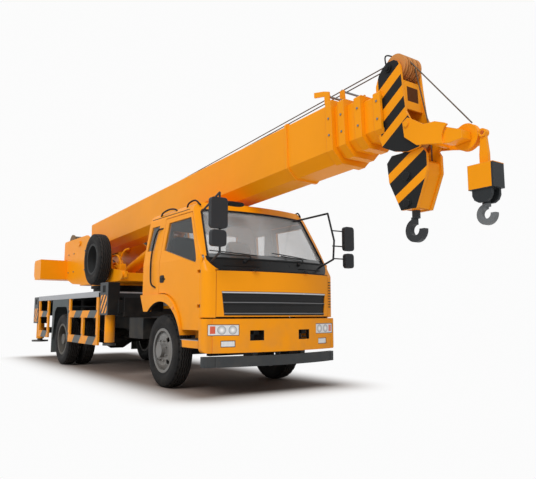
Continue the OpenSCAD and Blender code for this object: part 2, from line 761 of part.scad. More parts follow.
module plate_outline() {
    polygon([[-2900, 1660], [-2600, 1690], [-2620, 1810], [-3350, 1900], [-3500, 2330], [-4300, 2480],
        [-4950, 2740], [tail_x - 210, 2740], [tail_x - 250, 2700], [tail_x - 250, 2290], [tail_x + 0.3, 2290],
        [tail_x + 0.3, 1830], [tail_x + 500, 1700], [tail_x + 1150, 1660]]);
}
module turntable() {
    color(orange) {
        z_rod(slew_x, 0, ring_r, 1600 + seat_gap, 1661);
        box(slew_x - 900, slew_x + 1500, -plate_half, plate_half, 1640, 1661);
        both_sides() {
            across(plate_half - plate_t, plate_half) plate_outline();
            y_rod(pivot.x, pivot.z, 130, boom_w / 2 + 5, plate_half - plate_t + 1);
            y_rod(luff_foot.x, luff_foot.y, 110, luff_r + 20, 190);
            box(luff_foot.x - 110, luff_foot.x + 110, luff_r + 30, 190, 1650, luff_foot.y);
            y_rod(-2720, 1740, 70, plate_half - 80, plate_half + 40);
        }
        y_rod(pivot.x, pivot.z, 60, -plate_half - 30, plate_half + 30);
        y_rod(luff_foot.x, luff_foot.y, 50, -200, 200);
        y_rod(winch_x, winch_z, 60, -plate_half + 1, plate_half - 1);
        box(tail_x + 1, tail_x + 30, -plate_half + 1, plate_half - 1, 1850, 2280);
        box(-2900, -2860, -plate_half + 1, plate_half - 1, 1640, 1800);
        y_rod(spare_x, spare_z, 100, -plate_half - spare_out + front_face + 0.3, -plate_half + 1);
    }
}
module counterweight() {
    color(orange) difference() {
        across(-deck_half, deck_half) polygon([[tail_x, 1820], [tail_x, 2280], [tail_x - weight_len + 60, 2280],
            [tail_x - weight_len, 2210], [tail_x - weight_len, 1930], [tail_x - weight_len + 110, 1820]]);
        both_sides() translate([tail_x - weight_len, deck_half - 160, 0]) rotate([0, 0, 30])
            box(-400, 0, 0, 600, 0, big);
        both_sides() box(tail_x - 256, tail_x + 1, plate_half - plate_t - 5, plate_half + 5, 2270, big);
    }
}
module winch() {
    color(steel) translate([winch_x, 0, winch_z]) rotate([90, 0, 0]) rotate_extrude()
        polygon([[60.5, -520], [240, -520], [240, -490], [180, -490], [180, 490], [240, 490], [240, 520],
            [60.5, 520]]);
}
module spare_wheel() {
    color(rubber) translate([spare_x, -plate_half - spare_out, spare_z]) {
        tyre(0);
        rim(front_face, 40);
    }
}
// Side of the operator's cab, drawn in by t
module op_side(t) {
    polygon([[op_x0 + t, op_z0 + t], [op_x1 - t, op_z0 + t], [op_x1 - t, 2250 - t * 0.12],
        [op_x1 - 200 - t * 0.775, op_top - t], [op_x0 + 60 - t * 0.4, op_top - t],
        [op_x0 + t, op_top - 60 + t * 0.4]]);
}
// Opening across the front or the back, from z0 up
module op_end_window(z0, g) {
    polygon([[op_y0 + 70 + g, z0 + g], [op_y1 - 70 - g, z0 + g], [op_y1 - 70 - g, op_top - 110 - g],
        [op_y0 + 70 + g, op_top - 110 - g]]);
}
module op_windows(g) {
    across(op_y0 - 10, op_y0 + 60) polygon([[op_x0 + 100 + g, 2350 + g], [op_x1 - 140 - g, 2350 + g],
        [op_x1 - 270 - g, op_top - 100 - g], [op_x0 + 100 + g, op_top - 100 - g]]);
    along(op_x1 - 320, op_x1 + 10) op_end_window(1950, g);
    along(op_x0 - 10, op_x0 + 60) op_end_window(2300, g);
}
// Opening for the door, and the door itself at a smaller t
module op_door_outline(t) {
    polygon([[op_x0 + 260 + t, op_z0 + 20 + t], [op_x1 - 40 - t, op_z0 + 20 + t],
        [op_x1 - 40 - t, 2246 - t * 0.15],
        [op_x1 - 231 - t * 0.725, op_top - 50 - t], [op_x0 + 260 + t, op_top - 50 - t]]);
}
module operator_cab() {
    color(orange) {
        difference() {
            across(op_y0, op_y1) op_side(0);
            across(op_y0 + 40, op_y1 - 40) op_side(40);
            op_windows(0);
            across(op_y1 - 60, op_y1 + 10) op_door_outline(40);
        }
        box(op_x0 + 250, op_x0 + 700, op_y0 + 80, op_y1 - 80, op_z0 + 30, op_z0 + 450);
        box(op_x0 + 200, op_x0 + 300, op_y0 + 80, op_y1 - 80, op_z0 + 400, op_z0 + 1000);
        for (x = [-4800, -3700]) box(x, x + 120, plate_half + 0.3, op_y0 + 1, 1680, 1800);
    }
}
module operator_glass() {
    color(glass) intersection() {
        difference() {
            across(op_y0 + 12, op_y1 - 12) op_side(12);
            across(op_y0 + 18, op_y1 - 18) op_side(18);
        }
        op_windows(0.3);
    }
}
module operator_door() {
    color(orange) for (z = [1760, 2120]) z_rod(op_hinge_x, op_hinge_y, 13.5, z - 60, z + 60);
    color(orange) difference() {
        across(op_y1 + 0.6, op_y1 + 30) op_door_outline(0);
        across(op_y1 - 60, op_y1 + 60) polygon([[op_x0 + 340, 2100], [op_x1 - 130, 2100], [op_x1 - 130, 2230],
            [op_x1 - 290, op_top - 130], [op_x0 + 340, op_top - 130]]);
    }
}

// Boom

// Outline of a boom section about its middle, with folded lower corners
module boom_outline(w, h) {
    c = w * 0.22;
    translate([0, boom_mid]) polygon([[c - w / 2, -h / 2], [w / 2 - c, -h / 2], [w / 2, c - h / 2],
        [w / 2, h / 2 - 18], [w / 2 - 18, h / 2], [18 - w / 2, h / 2],
        [-w / 2, h / 2 - 18], [-w / 2, c - h / 2]]);
}
module ring(u0, u1, w, h, wi, hi) {
    along(u0, u1) difference() { boom_outline(w, h); boom_outline(wi, hi); }
}
// A section's tube; its rear shoe slides in section i - 1 and its collar carries section i + 1
module section_tube(i) {
    s = sections[i];
    ring(s[3], s[4], s[0], s[1], s[0] - 2 * s[2], s[1] - 2 * s[2]);
    if (i > 0) {
        o = sections[i - 1];
        play = 2 * o[2] + 2 * seat_gap;
        ring(s[3], s[3] + 150, o[0] - play, o[1] - play, s[0] - s[2], s[1] - s[2]);
    }
    if (i < 3) {
        n = sections[i + 1];
        ring(s[4] - 100, s[4], s[0] + 56, s[1] + 56, n[0] + 2 * seat_gap, n[1] + 2 * seat_gap);
    }
}
module boom_base() {
    color(orange) on_boom() difference() {
        union() {
            section_tube(0);
            ring(base_end - 900, base_end - 860, boom_w + 40, boom_h + 40, boom_w - 20, boom_h - 20);
            both_sides() {
                y_rod(0, 0, 150, boom_w / 2 - boom_wall, boom_w / 2 + 3);
                across(115, 150) polygon([[luff_eye.x - 330, boom_low + 1], [luff_eye.x - 80, luff_eye.y - 80],
                    [luff_eye.x + 80, luff_eye.y - 80], [luff_eye.x + 330, boom_low + 1]]);
                y_rod(luff_eye.x, luff_eye.y, 90, 110, 185);
            }
            box(7900, 8110, -160, 160, boom_low + boom_h - 1, boom_low + boom_h + 60);
            along(-170, -150) boom_outline(boom_w, boom_h);
        }
        y_rod(0, 0, 60 + seat_gap, -400, 400);
    }
}
module boom_section(i) color(orange) on_boom() section_tube(i);
module head_outline() {
    translate([head_u, 0]) polygon([[-86, -90], [-40, -215], [110, -300], [285, -350], [430, -340], [465, -300],
        [461, -148], [340, -10], [298, 80], [272, 401], [262, 590], [235, 650], [185, 685],
        [90, 690], [30, 658], [-35, 590], [-86, 480]]);
}
module boom_section_4() {
    color(orange) on_boom() {
        section_tube(3);
        s = sections[3];
        ring(s[4] - 100, s[4], s[0] + 46, s[1] + 50, s[0] - 20, s[1] - 20);
        along(s[4] - 101, s[4] - 85) boom_outline(s[0] - 4, s[1] - 4);
        both_sides() difference() {
            across(140, 170) head_outline();
            y_rod(jib_pin.x, jib_pin.y, 30.5, 0, 400);
        }
        box(head_u + 246, head_u + 264, -141, 141, 130, 440);
        box(head_u - 84, head_u - 60, -141, 141, -100, 500);
        for (p = [upper_pin, lower_pin]) y_rod(p.x, p.y, 45, -170, 170);
    }
}
module sheave(r, y, w, bore) {
    translate([0, y, 0]) rotate([90, 0, 0]) rotate_extrude()
        polygon([[bore, -w / 2], [r, -w / 2], [r, 6 - w / 2], [r - 28, -4], [r - 28, 4], [r, w / 2 - 6],
            [r, w / 2], [bore, w / 2]]);
}
module head_sheaves() {
    color(steel) on_boom() for (y = [-105, -35, 35, 105]) {
        translate([upper_pin.x, 0, upper_pin.y]) sheave(140, y, 44, 45.4);
        if (abs(y) > 50) translate([lower_pin.x, 0, lower_pin.y]) sheave(160, y, 44, 45.4);
    }
}
module aux_jib() {
    color(orange) on_boom() {
        both_sides() across(170.5, 192) difference() {
            translate([head_u, 0]) polygon([[262, -40], [275, -200], [420, -325], [565, -356], [750, -405],
                [872, -440], [930, -440], [960, -330], [895, -300], [767, -205], [657, -155], [520, -140],
                [410, -60], [330, -8]]);
            translate([jib_sheave.x, jib_sheave.y]) circle(150);
        }
        both_sides() y_rod(jib_pin.x, jib_pin.y, 30, 130, 205);
        box(head_u + 510, head_u + 540, -180, 180, -330, -160);
        y_rod(jib_sheave.x, jib_sheave.y, 30, -50, 50);
        translate([jib_sheave.x, 0, jib_sheave.y]) sheave(130, 0, 60, 28);
        both_sides() across(36, 171) polygon([[head_u + 700, -385], [head_u + 780, -408],
            [jib_sheave.x + 60, -400], [jib_sheave.x + 60, -320], [head_u + 760, -240]]);
    }
}
module luff_barrel() {
    color(orange) on_luff() difference() {
        union() {
            x_rod(0, 0, luff_r, 60, luff_len - 330);
            y_rod(0, 0, luff_r - 5, -luff_r - 10, luff_r + 10);
            x_rod(0, 0, luff_r + 15, luff_len - 400, luff_len - 330);
        }
        x_rod(0, 0, 75 + seat_gap, 150, luff_len);
        y_rod(0, 0, 50 + seat_gap, -300, 300);
    }
}
module luff_rod() {
    color(steel) on_luff() difference() {
        union() {
            x_rod(0, 0, 75, 250, luff_len - 60);
            y_rod(luff_len, 0, 95, -95, 95);
        }
        y_rod(luff_len, 0, 52, -200, 200);
    }
}

// Hooks

module hook_falls() {
    color(dark) difference() {
        union() {
            y_rod(hang.x, hang.z, 75, -30, 30);
            box(hang.x - 20, hang.x + 20, -18, 18, hang.z - 391 + seat_gap, hang.z);
        }
        y_rod(hang.x, hang.z, 45 + seat_gap, -100, 100);
    }
}
module hook_block() {
    top = hang.z - 176;
    color(orange) {
        both_sides() across(95, 130) translate([hang.x, top])
            polygon([[-190, -5], [215, -5], [255, -70], [258, -250],
                [110, -600], [-85, -600], [-235, -285], [-258, -75]]);
        y_rod(hang.x, top - 260, 45, -150, 150);
        translate([hang.x, 0, top - 260]) for (y = [-52, 52]) sheave(200, y, 60, 44);
        y_rod(hang.x, top - 540, 40, -150, 150);
        box(hang.x - 60, hang.x + 60, -96, 96, top - 590, top - 490);
        z_rod(hang.x, 0, 42, top - 680, top - 560);
        hook(hang.x, top - 680, 105);
    }
}
// Shank and bowl of a hook whose throat opens to the front
module hook(x, z, w) {
    difference() {
        across(-w * 0.3, w * 0.3) difference() {
            union() {
                translate([x, z - w * 1.2]) circle(w * 1.15);
                translate([x - w * 0.4, z - w]) square([w * 0.8, w * 1.1]);
            }
            translate([x, z - w * 1.15]) circle(w * 0.55);
            translate([x, z - w * 1.1]) square([w * 2, w * 1.2]);
        }
    }
}
module aux_hook() {
    x = aux_hang.x + 170.4;
    z = aux_hang.z;
    color(dark) {
        difference() {
            y_rod(x, z, 40, -29, 29);
            y_rod(x, z, 22, -60, 60);
        }
        across(-16, 16) translate([x, z])
            polygon([[-28, -30], [28, -30], [46, -200], [46, -310], [-46, -310], [-46, -200]]);
        box(x - 130, x + 130, -86, 86, z - 532, z - 300);
        both_sides() across(44, 74) translate([x, z])
            polygon([[-100, -531], [100, -531], [100, -590], [80, -630], [40, -655], [-40, -655], [-80, -630],
                [-100, -590]]);
        z_rod(x, 0, 34, z - 690, z - 520);
        hook(x, z - 660, 84);
    }
}

placed() chassis_frame();
placed() axles();
placed() leaf_springs();
placed() drive_train();
placed() tanks();
placed() subframe();
placed() deck();
placed() outrigger_housings();
placed() side_guards();
placed() mudguards();
placed() cab_shell();
placed() cab_glass();
placed() cab_inside();
placed() headlamp_panel();
placed() bumpers();
placed() lamps();
placed() fenders();
placed() mirrors();
placed() front_panel();
placed() grille();
placed() door(false);  // door_right
placed() door_glass(false);  // door_right_glass
placed() door(true);  // door_left
placed() door_glass(true);  // door_left_glass
placed() knuckle(false);  // knuckle_right
placed() knuckle(true);  // knuckle_left
placed() front_tyre(false);  // tyre_front_right
placed() front_tyre(true);  // tyre_front_left
placed() front_rim(false);  // rim_front_right
placed() front_rim(true);  // rim_front_left
placed() rear_tyres(false);  // tyres_rear_right
placed() rear_tyres(true);  // tyres_rear_left
placed() rear_rims(false);  // rims_rear_right
placed() rear_rims(true);  // rims_rear_left
placed()  // beam_front_right
    beam(front_legs_x, 118, 1000, 1550, front_tube_z, false);
placed()  // beam_front_left
    beam(front_legs_x, -118, 1000, 1550, front_tube_z, true);
placed() beam(rear_legs_x, 118, 800, 1400, rear_tube_z, false);  // beam_rear_right
placed() beam(rear_legs_x, -118, 800, 1400, rear_tube_z, true);  // beam_rear_left
placed()  // jack_front_right
    jack(front_legs_x, 1480, front_foot_z, front_foot_d, false);
placed()  // jack_front_left
    jack(front_legs_x, 1480, front_foot_z, front_foot_d, true);
placed() jack(rear_legs_x, 1330, rear_foot_z, foot_d, false);  // jack_rear_right
placed() jack(rear_legs_x, 1330, rear_foot_z, foot_d, true);  // jack_rear_left
placed() turntable();
placed() counterweight();
placed() winch();
placed() spare_wheel();
placed() operator_cab();
placed() operator_glass();
placed() operator_door();
placed() boom_base();
placed() boom_section(1);  // boom_section_2
placed() boom_section(2);  // boom_section_3
placed() boom_section_4();
placed() head_sheaves();
placed() aux_jib();
placed() luff_barrel();
placed() luff_rod();
placed() hook_falls();
placed() hook_block();
placed() aux_hook();
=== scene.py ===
"""Looks of a two-axle truck crane: finishes, tyres, ropes, lamps, seats and trim over the fixed frame."""

from __future__ import annotations

import json
import logging
import math
from dataclasses import dataclass, field
from enum import Enum
from typing import Any, Callable, Sequence, Union

import bmesh
import bpy
import numpy as np
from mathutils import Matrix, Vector

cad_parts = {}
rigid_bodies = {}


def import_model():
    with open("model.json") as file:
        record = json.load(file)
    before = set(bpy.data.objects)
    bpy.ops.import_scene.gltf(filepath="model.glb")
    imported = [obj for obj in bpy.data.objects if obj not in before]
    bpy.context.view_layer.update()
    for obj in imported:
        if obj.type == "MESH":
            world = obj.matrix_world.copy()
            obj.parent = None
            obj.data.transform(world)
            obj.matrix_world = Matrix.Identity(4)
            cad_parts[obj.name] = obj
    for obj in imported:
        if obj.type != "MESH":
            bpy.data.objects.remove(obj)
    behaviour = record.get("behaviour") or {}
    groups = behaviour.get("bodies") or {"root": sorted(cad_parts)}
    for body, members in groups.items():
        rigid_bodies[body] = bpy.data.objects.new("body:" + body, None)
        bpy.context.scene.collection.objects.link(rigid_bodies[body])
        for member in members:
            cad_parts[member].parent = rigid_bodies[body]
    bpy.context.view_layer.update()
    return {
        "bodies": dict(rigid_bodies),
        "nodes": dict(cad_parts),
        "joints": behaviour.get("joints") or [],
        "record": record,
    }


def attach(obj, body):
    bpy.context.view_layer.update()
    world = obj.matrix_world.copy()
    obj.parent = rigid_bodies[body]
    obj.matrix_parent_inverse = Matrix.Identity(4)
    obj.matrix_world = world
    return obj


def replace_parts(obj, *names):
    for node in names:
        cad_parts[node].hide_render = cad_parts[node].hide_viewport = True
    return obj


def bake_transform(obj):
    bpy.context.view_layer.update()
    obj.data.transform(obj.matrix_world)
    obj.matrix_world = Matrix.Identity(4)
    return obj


LOG = logging.getLogger("crane")

# Places of the axles along the crane; sizes of the cab are measured from the front one
AXLE_X = 1.115
REAR_AXLE_X = -3.385
# Height of the axles, which is also the tyres' radius
WHEEL_RADIUS = 0.509
SPARE_WHEEL = (-2.535, -0.78, 2.09)
# Foot pin and rest angle of the boom
BOOM_FOOT = np.array([-4.285, 0.0, 2.6])
BOOM_TILT = math.radians(2.5)

# Rays that show the backdrop itself, as Blender names them
SHOWING_RAYS = ("Camera", "Glossy", "Transmission")
# Added before a fraction is taken, so that it is taken of a number above zero
BAND_LIFT = 40.0

Number = Union[float, "Socket"]


class Side(Enum):
    """The two sides of the crane, with the sign of Y."""

    RIGHT = -1
    LEFT = 1

    @property
    def word(self) -> str:
        """The side's name as pieces and nodes spell it."""
        return self.name.lower()


@dataclass(frozen=True)
class Tone:
    """A colour as a screen shows it, each part from 0 to 255."""

    red: float
    green: float
    blue: float

    def linear(self, gain: float = 1.0) -> tuple[float, float, float, float]:
        """Returns the linear colour, scaled by gain."""
        parts = np.array([self.red, self.green, self.blue]) / 255.0
        low = parts / 12.92
        high = ((parts + 0.055) / 1.055) ** 2.4
        linear = np.clip(np.where(parts <= 0.04045, low, high) * gain, 0.0, 1.0)
        return (float(linear[0]), float(linear[1]), float(linear[2]), 1.0)


ORANGE = Tone(246, 155, 12)
CHARCOAL = Tone(44, 46, 48)
IRON = Tone(26, 27, 28)
GUARD_GREY = Tone(78, 86, 88)
DECK_GREY = Tone(168, 170, 174)
RIM_GREY = Tone(120, 119, 117)
# The rim grey darkened for the rear wheels, a painted shade
REAR_RIM_SHADED_GREY = Tone(88, 86, 82)
CHROME = Tone(196, 198, 200)
RUBBER = Tone(23, 22, 22)
DUST = Tone(150, 138, 122)
AMBER = Tone(232, 128, 18)
RED = Tone(150, 18, 16)
BLACK = Tone(9, 9, 10)
ROPE = Tone(96, 84, 70)
LINING = Tone(176, 174, 170)
# Grey of the windscreen's dark frit band, lightened in part as a painted reflection
FRIT_BAND_REFLECTION_GREY = Tone(92, 95, 97)
CLOTH = Tone(66, 68, 72)


class Socket:
    """A node's output that takes part in Python expressions; each operator adds a Math node."""

    def __init__(self, shader: "Shader", link: bpy.types.NodeSocket) -> None:
        """Keeps the shader and the output it stands for."""
        self.shader = shader
        self.link = link

    def _math(self, operation: str, left: Number, right: Number = 0.0) -> "Socket":
        """Adds one Math node.

        Args:
            operation: Blender's name for the operation.
            left: First term.
            right: Second term.
        Returns:
            The node's result.
        """
        return self.shader.value("ShaderNodeMath", {"operation": operation}, {0: left, 1: right})

    def __add__(self, other: Number) -> "Socket":
        """Sum."""
        return self._math("ADD", self, other)

    __radd__ = __add__

    def __sub__(self, other: Number) -> "Socket":
        """Difference."""
        return self._math("SUBTRACT", self, other)

    def __rsub__(self, other: Number) -> "Socket":
        """Difference with the socket second."""
        return self._math("SUBTRACT", other, self)

    def __mul__(self, other: Number) -> "Socket":
        """Product, which also joins two masks."""
        return self._math("MULTIPLY", self, other)

    __rmul__ = __mul__

    def __truediv__(self, other: Number) -> "Socket":
        """Quotient."""
        return self._math("DIVIDE", self, other)

    def __gt__(self, other: Number) -> "Socket":
        """Mask that is 1 where the socket is greater."""
        return self._math("GREATER_THAN", self, other)

    def __lt__(self, other: Number) -> "Socket":
        """Mask that is 1 where the socket is less."""
        return self._math("LESS_THAN", self, other)

    def __or__(self, other: Number) -> "Socket":
        """The greater of two masks."""
        return self._math("MAXIMUM", self, other)

    def __abs__(self) -> "Socket":
        """Size without sign."""
        return self._math("ABSOLUTE", self)

    def above(self, low: Number) -> "Socket":
        """The socket where it is greater than low, and low elsewhere."""
        return self._math("MAXIMUM", self, low)

    def square(self) -> "Socket":
        """The socket times itself."""
        return self._math("MULTIPLY", self, self)

    def root(self) -> "Socket":
        """Square root."""
        return self._math("SQRT", self)

    def fraction(self) -> "Socket":
        """What is left over the whole number below."""
        return self._math("FRACT", self)

    def between(self, low: Number, high: Number) -> "Socket":
        """Mask that is 1 from low to high."""
        return (self > low) * (self < high)

    def ramp(self, low: float, high: float) -> "Socket":
        """Smooth rise from 0 at low to 1 at high."""
        inputs = {"Value": self, "From Min": low, "From Max": high}
        return self.shader.value("ShaderNodeMapRange", {"interpolation_type": "SMOOTHSTEP"}, inputs)


Axes = tuple[Socket, Socket, Socket]
Mask = Callable[[Socket, Socket, Socket], Socket]


class Shader:
    """One material or sky, built node by node."""

    def __init__(self, name: str, sky: bool = False) -> None:
        """Starts a material, or a sky, that holds only its output."""
        self.owner = bpy.data.worlds.new(name) if sky else bpy.data.materials.new(name)
        self.owner.use_nodes = True
        self.tree = self.owner.node_tree
        self.tree.nodes.clear()
        self.output = self.tree.nodes.new("ShaderNodeOutputWorld" if sky else "ShaderNodeOutputMaterial")
        self._axes: Axes | None = None
        self._place: Socket | None = None

    def node(self, kind: str, settings: dict[str, Any], inputs: dict[Any, Any]) -> bpy.types.Node:
        """Adds a node.

        Args:
            kind: Blender's name for the node.
            settings: The node's own settings, set before its sockets.
            inputs: Values or links by socket name or number.
        Returns:
            The new node.
        """
        made = self.tree.nodes.new(kind)
        for key, setting in settings.items():
            setattr(made, key, setting)
        for key, value in inputs.items():
            if isinstance(value, Socket):
                self.tree.links.new(value.link, made.inputs[key])
            else:
                made.inputs[key].default_value = value
        return made

    def value(self, kind: str, settings: dict[str, Any], inputs: dict[Any, Any], output: Any = 0) -> Socket:
        """Adds a node and returns one of its outputs."""
        return Socket(self, self.node(kind, settings, inputs).outputs[output])

    def place(self) -> Socket:
        """The point on the object, in metres."""
        if self._place is None:
            self._place = self.value("ShaderNodeTexCoord", {}, {}, "Object")
        return self._place

    def axes(self) -> Axes:
        """The three parts of the point on the object."""
        if self._axes is None:
            split = self.node("ShaderNodeSeparateXYZ", {}, {0: self.place()})
            self._axes = tuple(Socket(self, out) for out in split.outputs)
        return self._axes

    def uv(self) -> tuple[Socket, Socket]:
        """The two parts of the piece's own UV map."""
        whole = self.value("ShaderNodeTexCoord", {}, {}, "UV")
        split = self.node("ShaderNodeSeparateXYZ", {}, {0: whole})
        return Socket(self, split.outputs[0]), Socket(self, split.outputs[1])

    def noise(self, scale: float, detail: float = 3.0) -> Socket:
        """Cloudy values from 0 to 1 over the object.

        Args:
            scale: Clouds to the metre.
            detail: How many finer layers are added.
        Returns:
            The value at the point.
        """
        inputs = {"Vector": self.place(), "Scale": scale, "Detail": detail}
        return self.value("ShaderNodeTexNoise", {}, inputs)

    def mix(self, mask: Number, low: Any, high: Any) -> Socket:
        """Colour that goes from low to high as mask goes from 0 to 1."""
        return self.value("ShaderNodeMix", {"data_type": "RGBA"}, {0: mask, 6: low, 7: high}, 2)

    def bump(self, height: Socket, depth: float, strength: float, normal: Socket | None = None) -> Socket:
        """Surface direction after a height is laid on it.

        Args:
            height: Height from 0 to 1.
            depth: Metres that a height of 1 stands for.
            strength: Share of the effect that is kept.
            normal: Direction to start from.
        Returns:
            The new direction.
        """
        inputs: dict[Any, Any] = {"Height": height, "Distance": depth, "Strength": strength}
        if normal is not None:
            inputs["Normal"] = normal
        return self.value("ShaderNodeBump", {}, inputs)

    def soft_edge(self, radius: float) -> Socket:
        """Surface direction with edges rounded by radius."""
        return self.value("ShaderNodeBevel", {"samples": 4}, {"Radius": radius})

    def seen(self) -> Socket:
        """Mask that is 1 for rays that show the backdrop: from the camera, mirrored, or through glass."""
        path = self.node("ShaderNodeLightPath", {}, {})
        camera, mirrored, through = (Socket(self, path.outputs[f"Is {kind} Ray"]) for kind in SHOWING_RAYS)
        return camera | mirrored | through

    def choose(self, mask: Socket, low: Socket, high: Socket) -> Socket:
        """Shader that goes from low to high as mask goes from 0 to 1."""
        return self.value("ShaderNodeMixShader", {}, {0: mask, 1: low, 2: high})

    def end(self, surface: Socket) -> Any:
        """Joins a surface to the output and returns the material or sky."""
        self.tree.links.new(surface.link, self.output.inputs[0])
        return self.owner

    def close(self, inputs: dict[str, Any]) -> bpy.types.Material:
        """Ends the material with one Principled shader and returns it."""
        return self.end(self.value("ShaderNodeBsdfPrincipled", {}, inputs))


@dataclass(frozen=True)
class Layer:
    """A second colour over part of a finish."""

    tone: Tone
    mask: Mask
    rough: float = 0.4
    metal: float = 0.0


@dataclass(frozen=True)
class Paint:
    """A painted or bare metal finish with drift, dust, worn edges and a fine uneven surface."""

    tone: Tone
    rough: float = 0.4
    metal: float = 0.0
    coat: float = 0.04
    drift: float = 0.07
    dust: float = 0.2
    worn: float = 0.16
    soft: float = 0.008
    peel: float = 0.06
    peel_scale: float = 260.0
    layers: tuple[Layer, ...] = ()

    def material(self, name: str) -> bpy.types.Material:
        """Builds the finish.

        Args:
            name: Name of the material.
        Returns:
            The material.
        """
        shader = Shader(name)
        axes = shader.axes()
        cloud = shader.noise(1.6, 4.0)
        color = shader.mix(cloud, self.tone.linear(1.0 - self.drift), self.tone.linear(1.0 + self.drift))
        rough = (shader.noise(9.0, 4.0) - 0.5) * 0.16 + self.rough
        metal: Number = self.metal
        for layer in self.layers:
            mask = layer.mask(*axes)
            color = shader.mix(mask, color, layer.tone.linear())
            rough = rough + mask * (layer.rough - self.rough)
            if layer.metal != self.metal:
                metal = mask * (layer.metal - self.metal) + metal
        rounded = shader.soft_edge(self.soft)
        flat = shader.value("ShaderNodeNewGeometry", {}, {}, "Normal")
        facing = shader.value("ShaderNodeVectorMath", {"operation": "DOT_PRODUCT"}, {0: rounded, 1: flat},
                              "Value")
        edge = ((1.0 - facing) * shader.noise(34.0, 3.0)).ramp(0.03, 0.14)
        color = shader.mix(edge * self.worn, color, DECK_GREY.linear())
        low = (1.0 - axes[2].ramp(0.25, 1.5)) * shader.noise(4.5, 5.0).ramp(0.35, 0.75)
        color = shader.mix(low * self.dust, color, DUST.linear(0.7))
        rough = rough + low * (self.dust * 0.5)
        normal = shader.bump(shader.noise(self.peel_scale, 2.0), 0.0006, self.peel, rounded)
        return shader.close({"Base Color": color, "Roughness": rough, "Metallic": metal,
                             "Coat Weight": self.coat, "Coat Roughness": 0.15, "Specular IOR Level": 0.13,
                             "Normal": normal})


@dataclass(frozen=True)
class Rubber:
    """Black rubber with a dusty bloom, a fine grain and painted shade in the tread's grooves and on its
    shoulders.
    """

    axle: tuple[float, float]
    radius: float = WHEEL_RADIUS
    tone: Tone = RUBBER
    bloom: float = 0.14

    def material(self, name: str) -> bpy.types.Material:
        """Builds the rubber and returns its material."""
        shader = Shader(name)
        cloud = shader.noise(7.0, 5.0)
        color = shader.mix(cloud, self.tone.linear(0.75), self.tone.linear(1.25))
        color = shader.mix(cloud.ramp(0.45, 0.85) * self.bloom, color, DUST.linear(0.45))
        x, _y, z = shader.axes()
        away = ((x - self.axle[0]).square() + (z - self.axle[1]).square()).root()
        tread = away.ramp(self.radius - 0.010, self.radius - 0.006)
        # Painted shade: the groove bottoms and the shoulders at these radii are darkened towards black
        groove = away.ramp(self.radius - 0.022, self.radius - 0.019) * (1.0 - tread)
        color = shader.mix(tread * 0.5, color, Tone(58, 56, 54).linear())
        color = shader.mix(groove * 0.8, color, BLACK.linear())
        rough = shader.noise(40.0, 3.0) * 0.18 + 0.62
        normal = shader.bump(shader.noise(420.0, 2.0), 0.0008, 0.25)
        return shader.close({"Base Color": color, "Roughness": rough, "Specular IOR Level": 0.2,
                             "Normal": normal})


@dataclass(frozen=True)
class Pane:
    """Grey-tinted glass with faint dust; a cab's has a windscreen whose pale tone is a painted reflection
    of the sky, and a dark band along its foot.
    """

    tone: Tone = Tone(70, 77, 81)
    cover: float = 0.24
    # Pale tone of the windscreen, a painted reflection of the sky
    screen: Tone | None = None
    screen_x: float = 1.5
    band_top: float = 1.80

    def material(self, name: str) -> bpy.types.Material:
        """Builds the glass and returns its material."""
        shader = Shader(name)
        x, _y, z = shader.axes()
        haze = shader.noise(3.0, 5.0).ramp(0.5, 0.9)
        color = shader.mix(haze * 0.25, self.tone.linear(), DUST.linear(0.6))
        clear = haze * 0.06 + self.cover
        if self.screen is not None:
            front = x > self.screen_x
            band = front * (1.0 - z.ramp(self.band_top - 0.004, self.band_top))
            # The windscreen is painted pale as a reflection of the sky
            color = shader.mix(front, color, self.screen.linear())
            # The frit band's grey is partly its own dark tone and partly a painted reflection
            color = shader.mix(band, color, FRIT_BAND_REFLECTION_GREY.linear())
            clear = clear.above(band)
        return shader.close({"Base Color": color, "Roughness": haze * 0.05 + 0.03, "Alpha": clear,
                             "IOR": 1.52, "Specular IOR Level": 0.7})


@dataclass(frozen=True)
class Strand:
    """Laid wire rope, its strands wound along the piece's UV map."""

    tone: Tone = ROPE
    lay: float = 14.0

    def material(self, name: str) -> bpy.types.Material:
        """Builds the rope's finish and returns its material."""
        shader = Shader(name)
        along, around = shader.uv()
        wave = abs((along * self.lay + around * 6.0).fraction() - 0.5) * 2.0
        color = shader.mix(wave, self.tone.linear(0.55), self.tone.linear(1.3))
        color = shader.mix(shader.noise(20.0).ramp(0.5, 0.8) * 0.4, color, Tone(120, 84, 52).linear())
        normal = shader.bump(wave, 0.002, 0.7)
        rough = 0.62 - wave * 0.15
        return shader.close({"Base Color": color, "Roughness": rough, "Metallic": 0.45, "Normal": normal})


@dataclass(frozen=True)
class Weave:
    """Woven seat cloth with a fine cross weave."""

    tone: Tone = CLOTH
    threads: float = 420.0

    def material(self, name: str) -> bpy.types.Material:
        """Builds the cloth and returns its material."""
        shader = Shader(name)
        x, y, z = shader.axes()
        warp = abs((y * self.threads).fraction() - 0.5)
        weft = abs(((x + z) * self.threads).fraction() - 0.5)
        knit = warp + weft
        color = shader.mix(knit, self.tone.linear(0.6), self.tone.linear(1.35))
        color = shader.mix(shader.noise(6.0).ramp(0.5, 0.9) * 0.3, color, self.tone.linear(0.5))
        normal = shader.bump(knit, 0.0015, 0.5)
        return shader.close({"Base Color": color, "Roughness": knit * 0.08 + 0.85, "Normal": normal,
                             "Sheen Weight": 0.25})


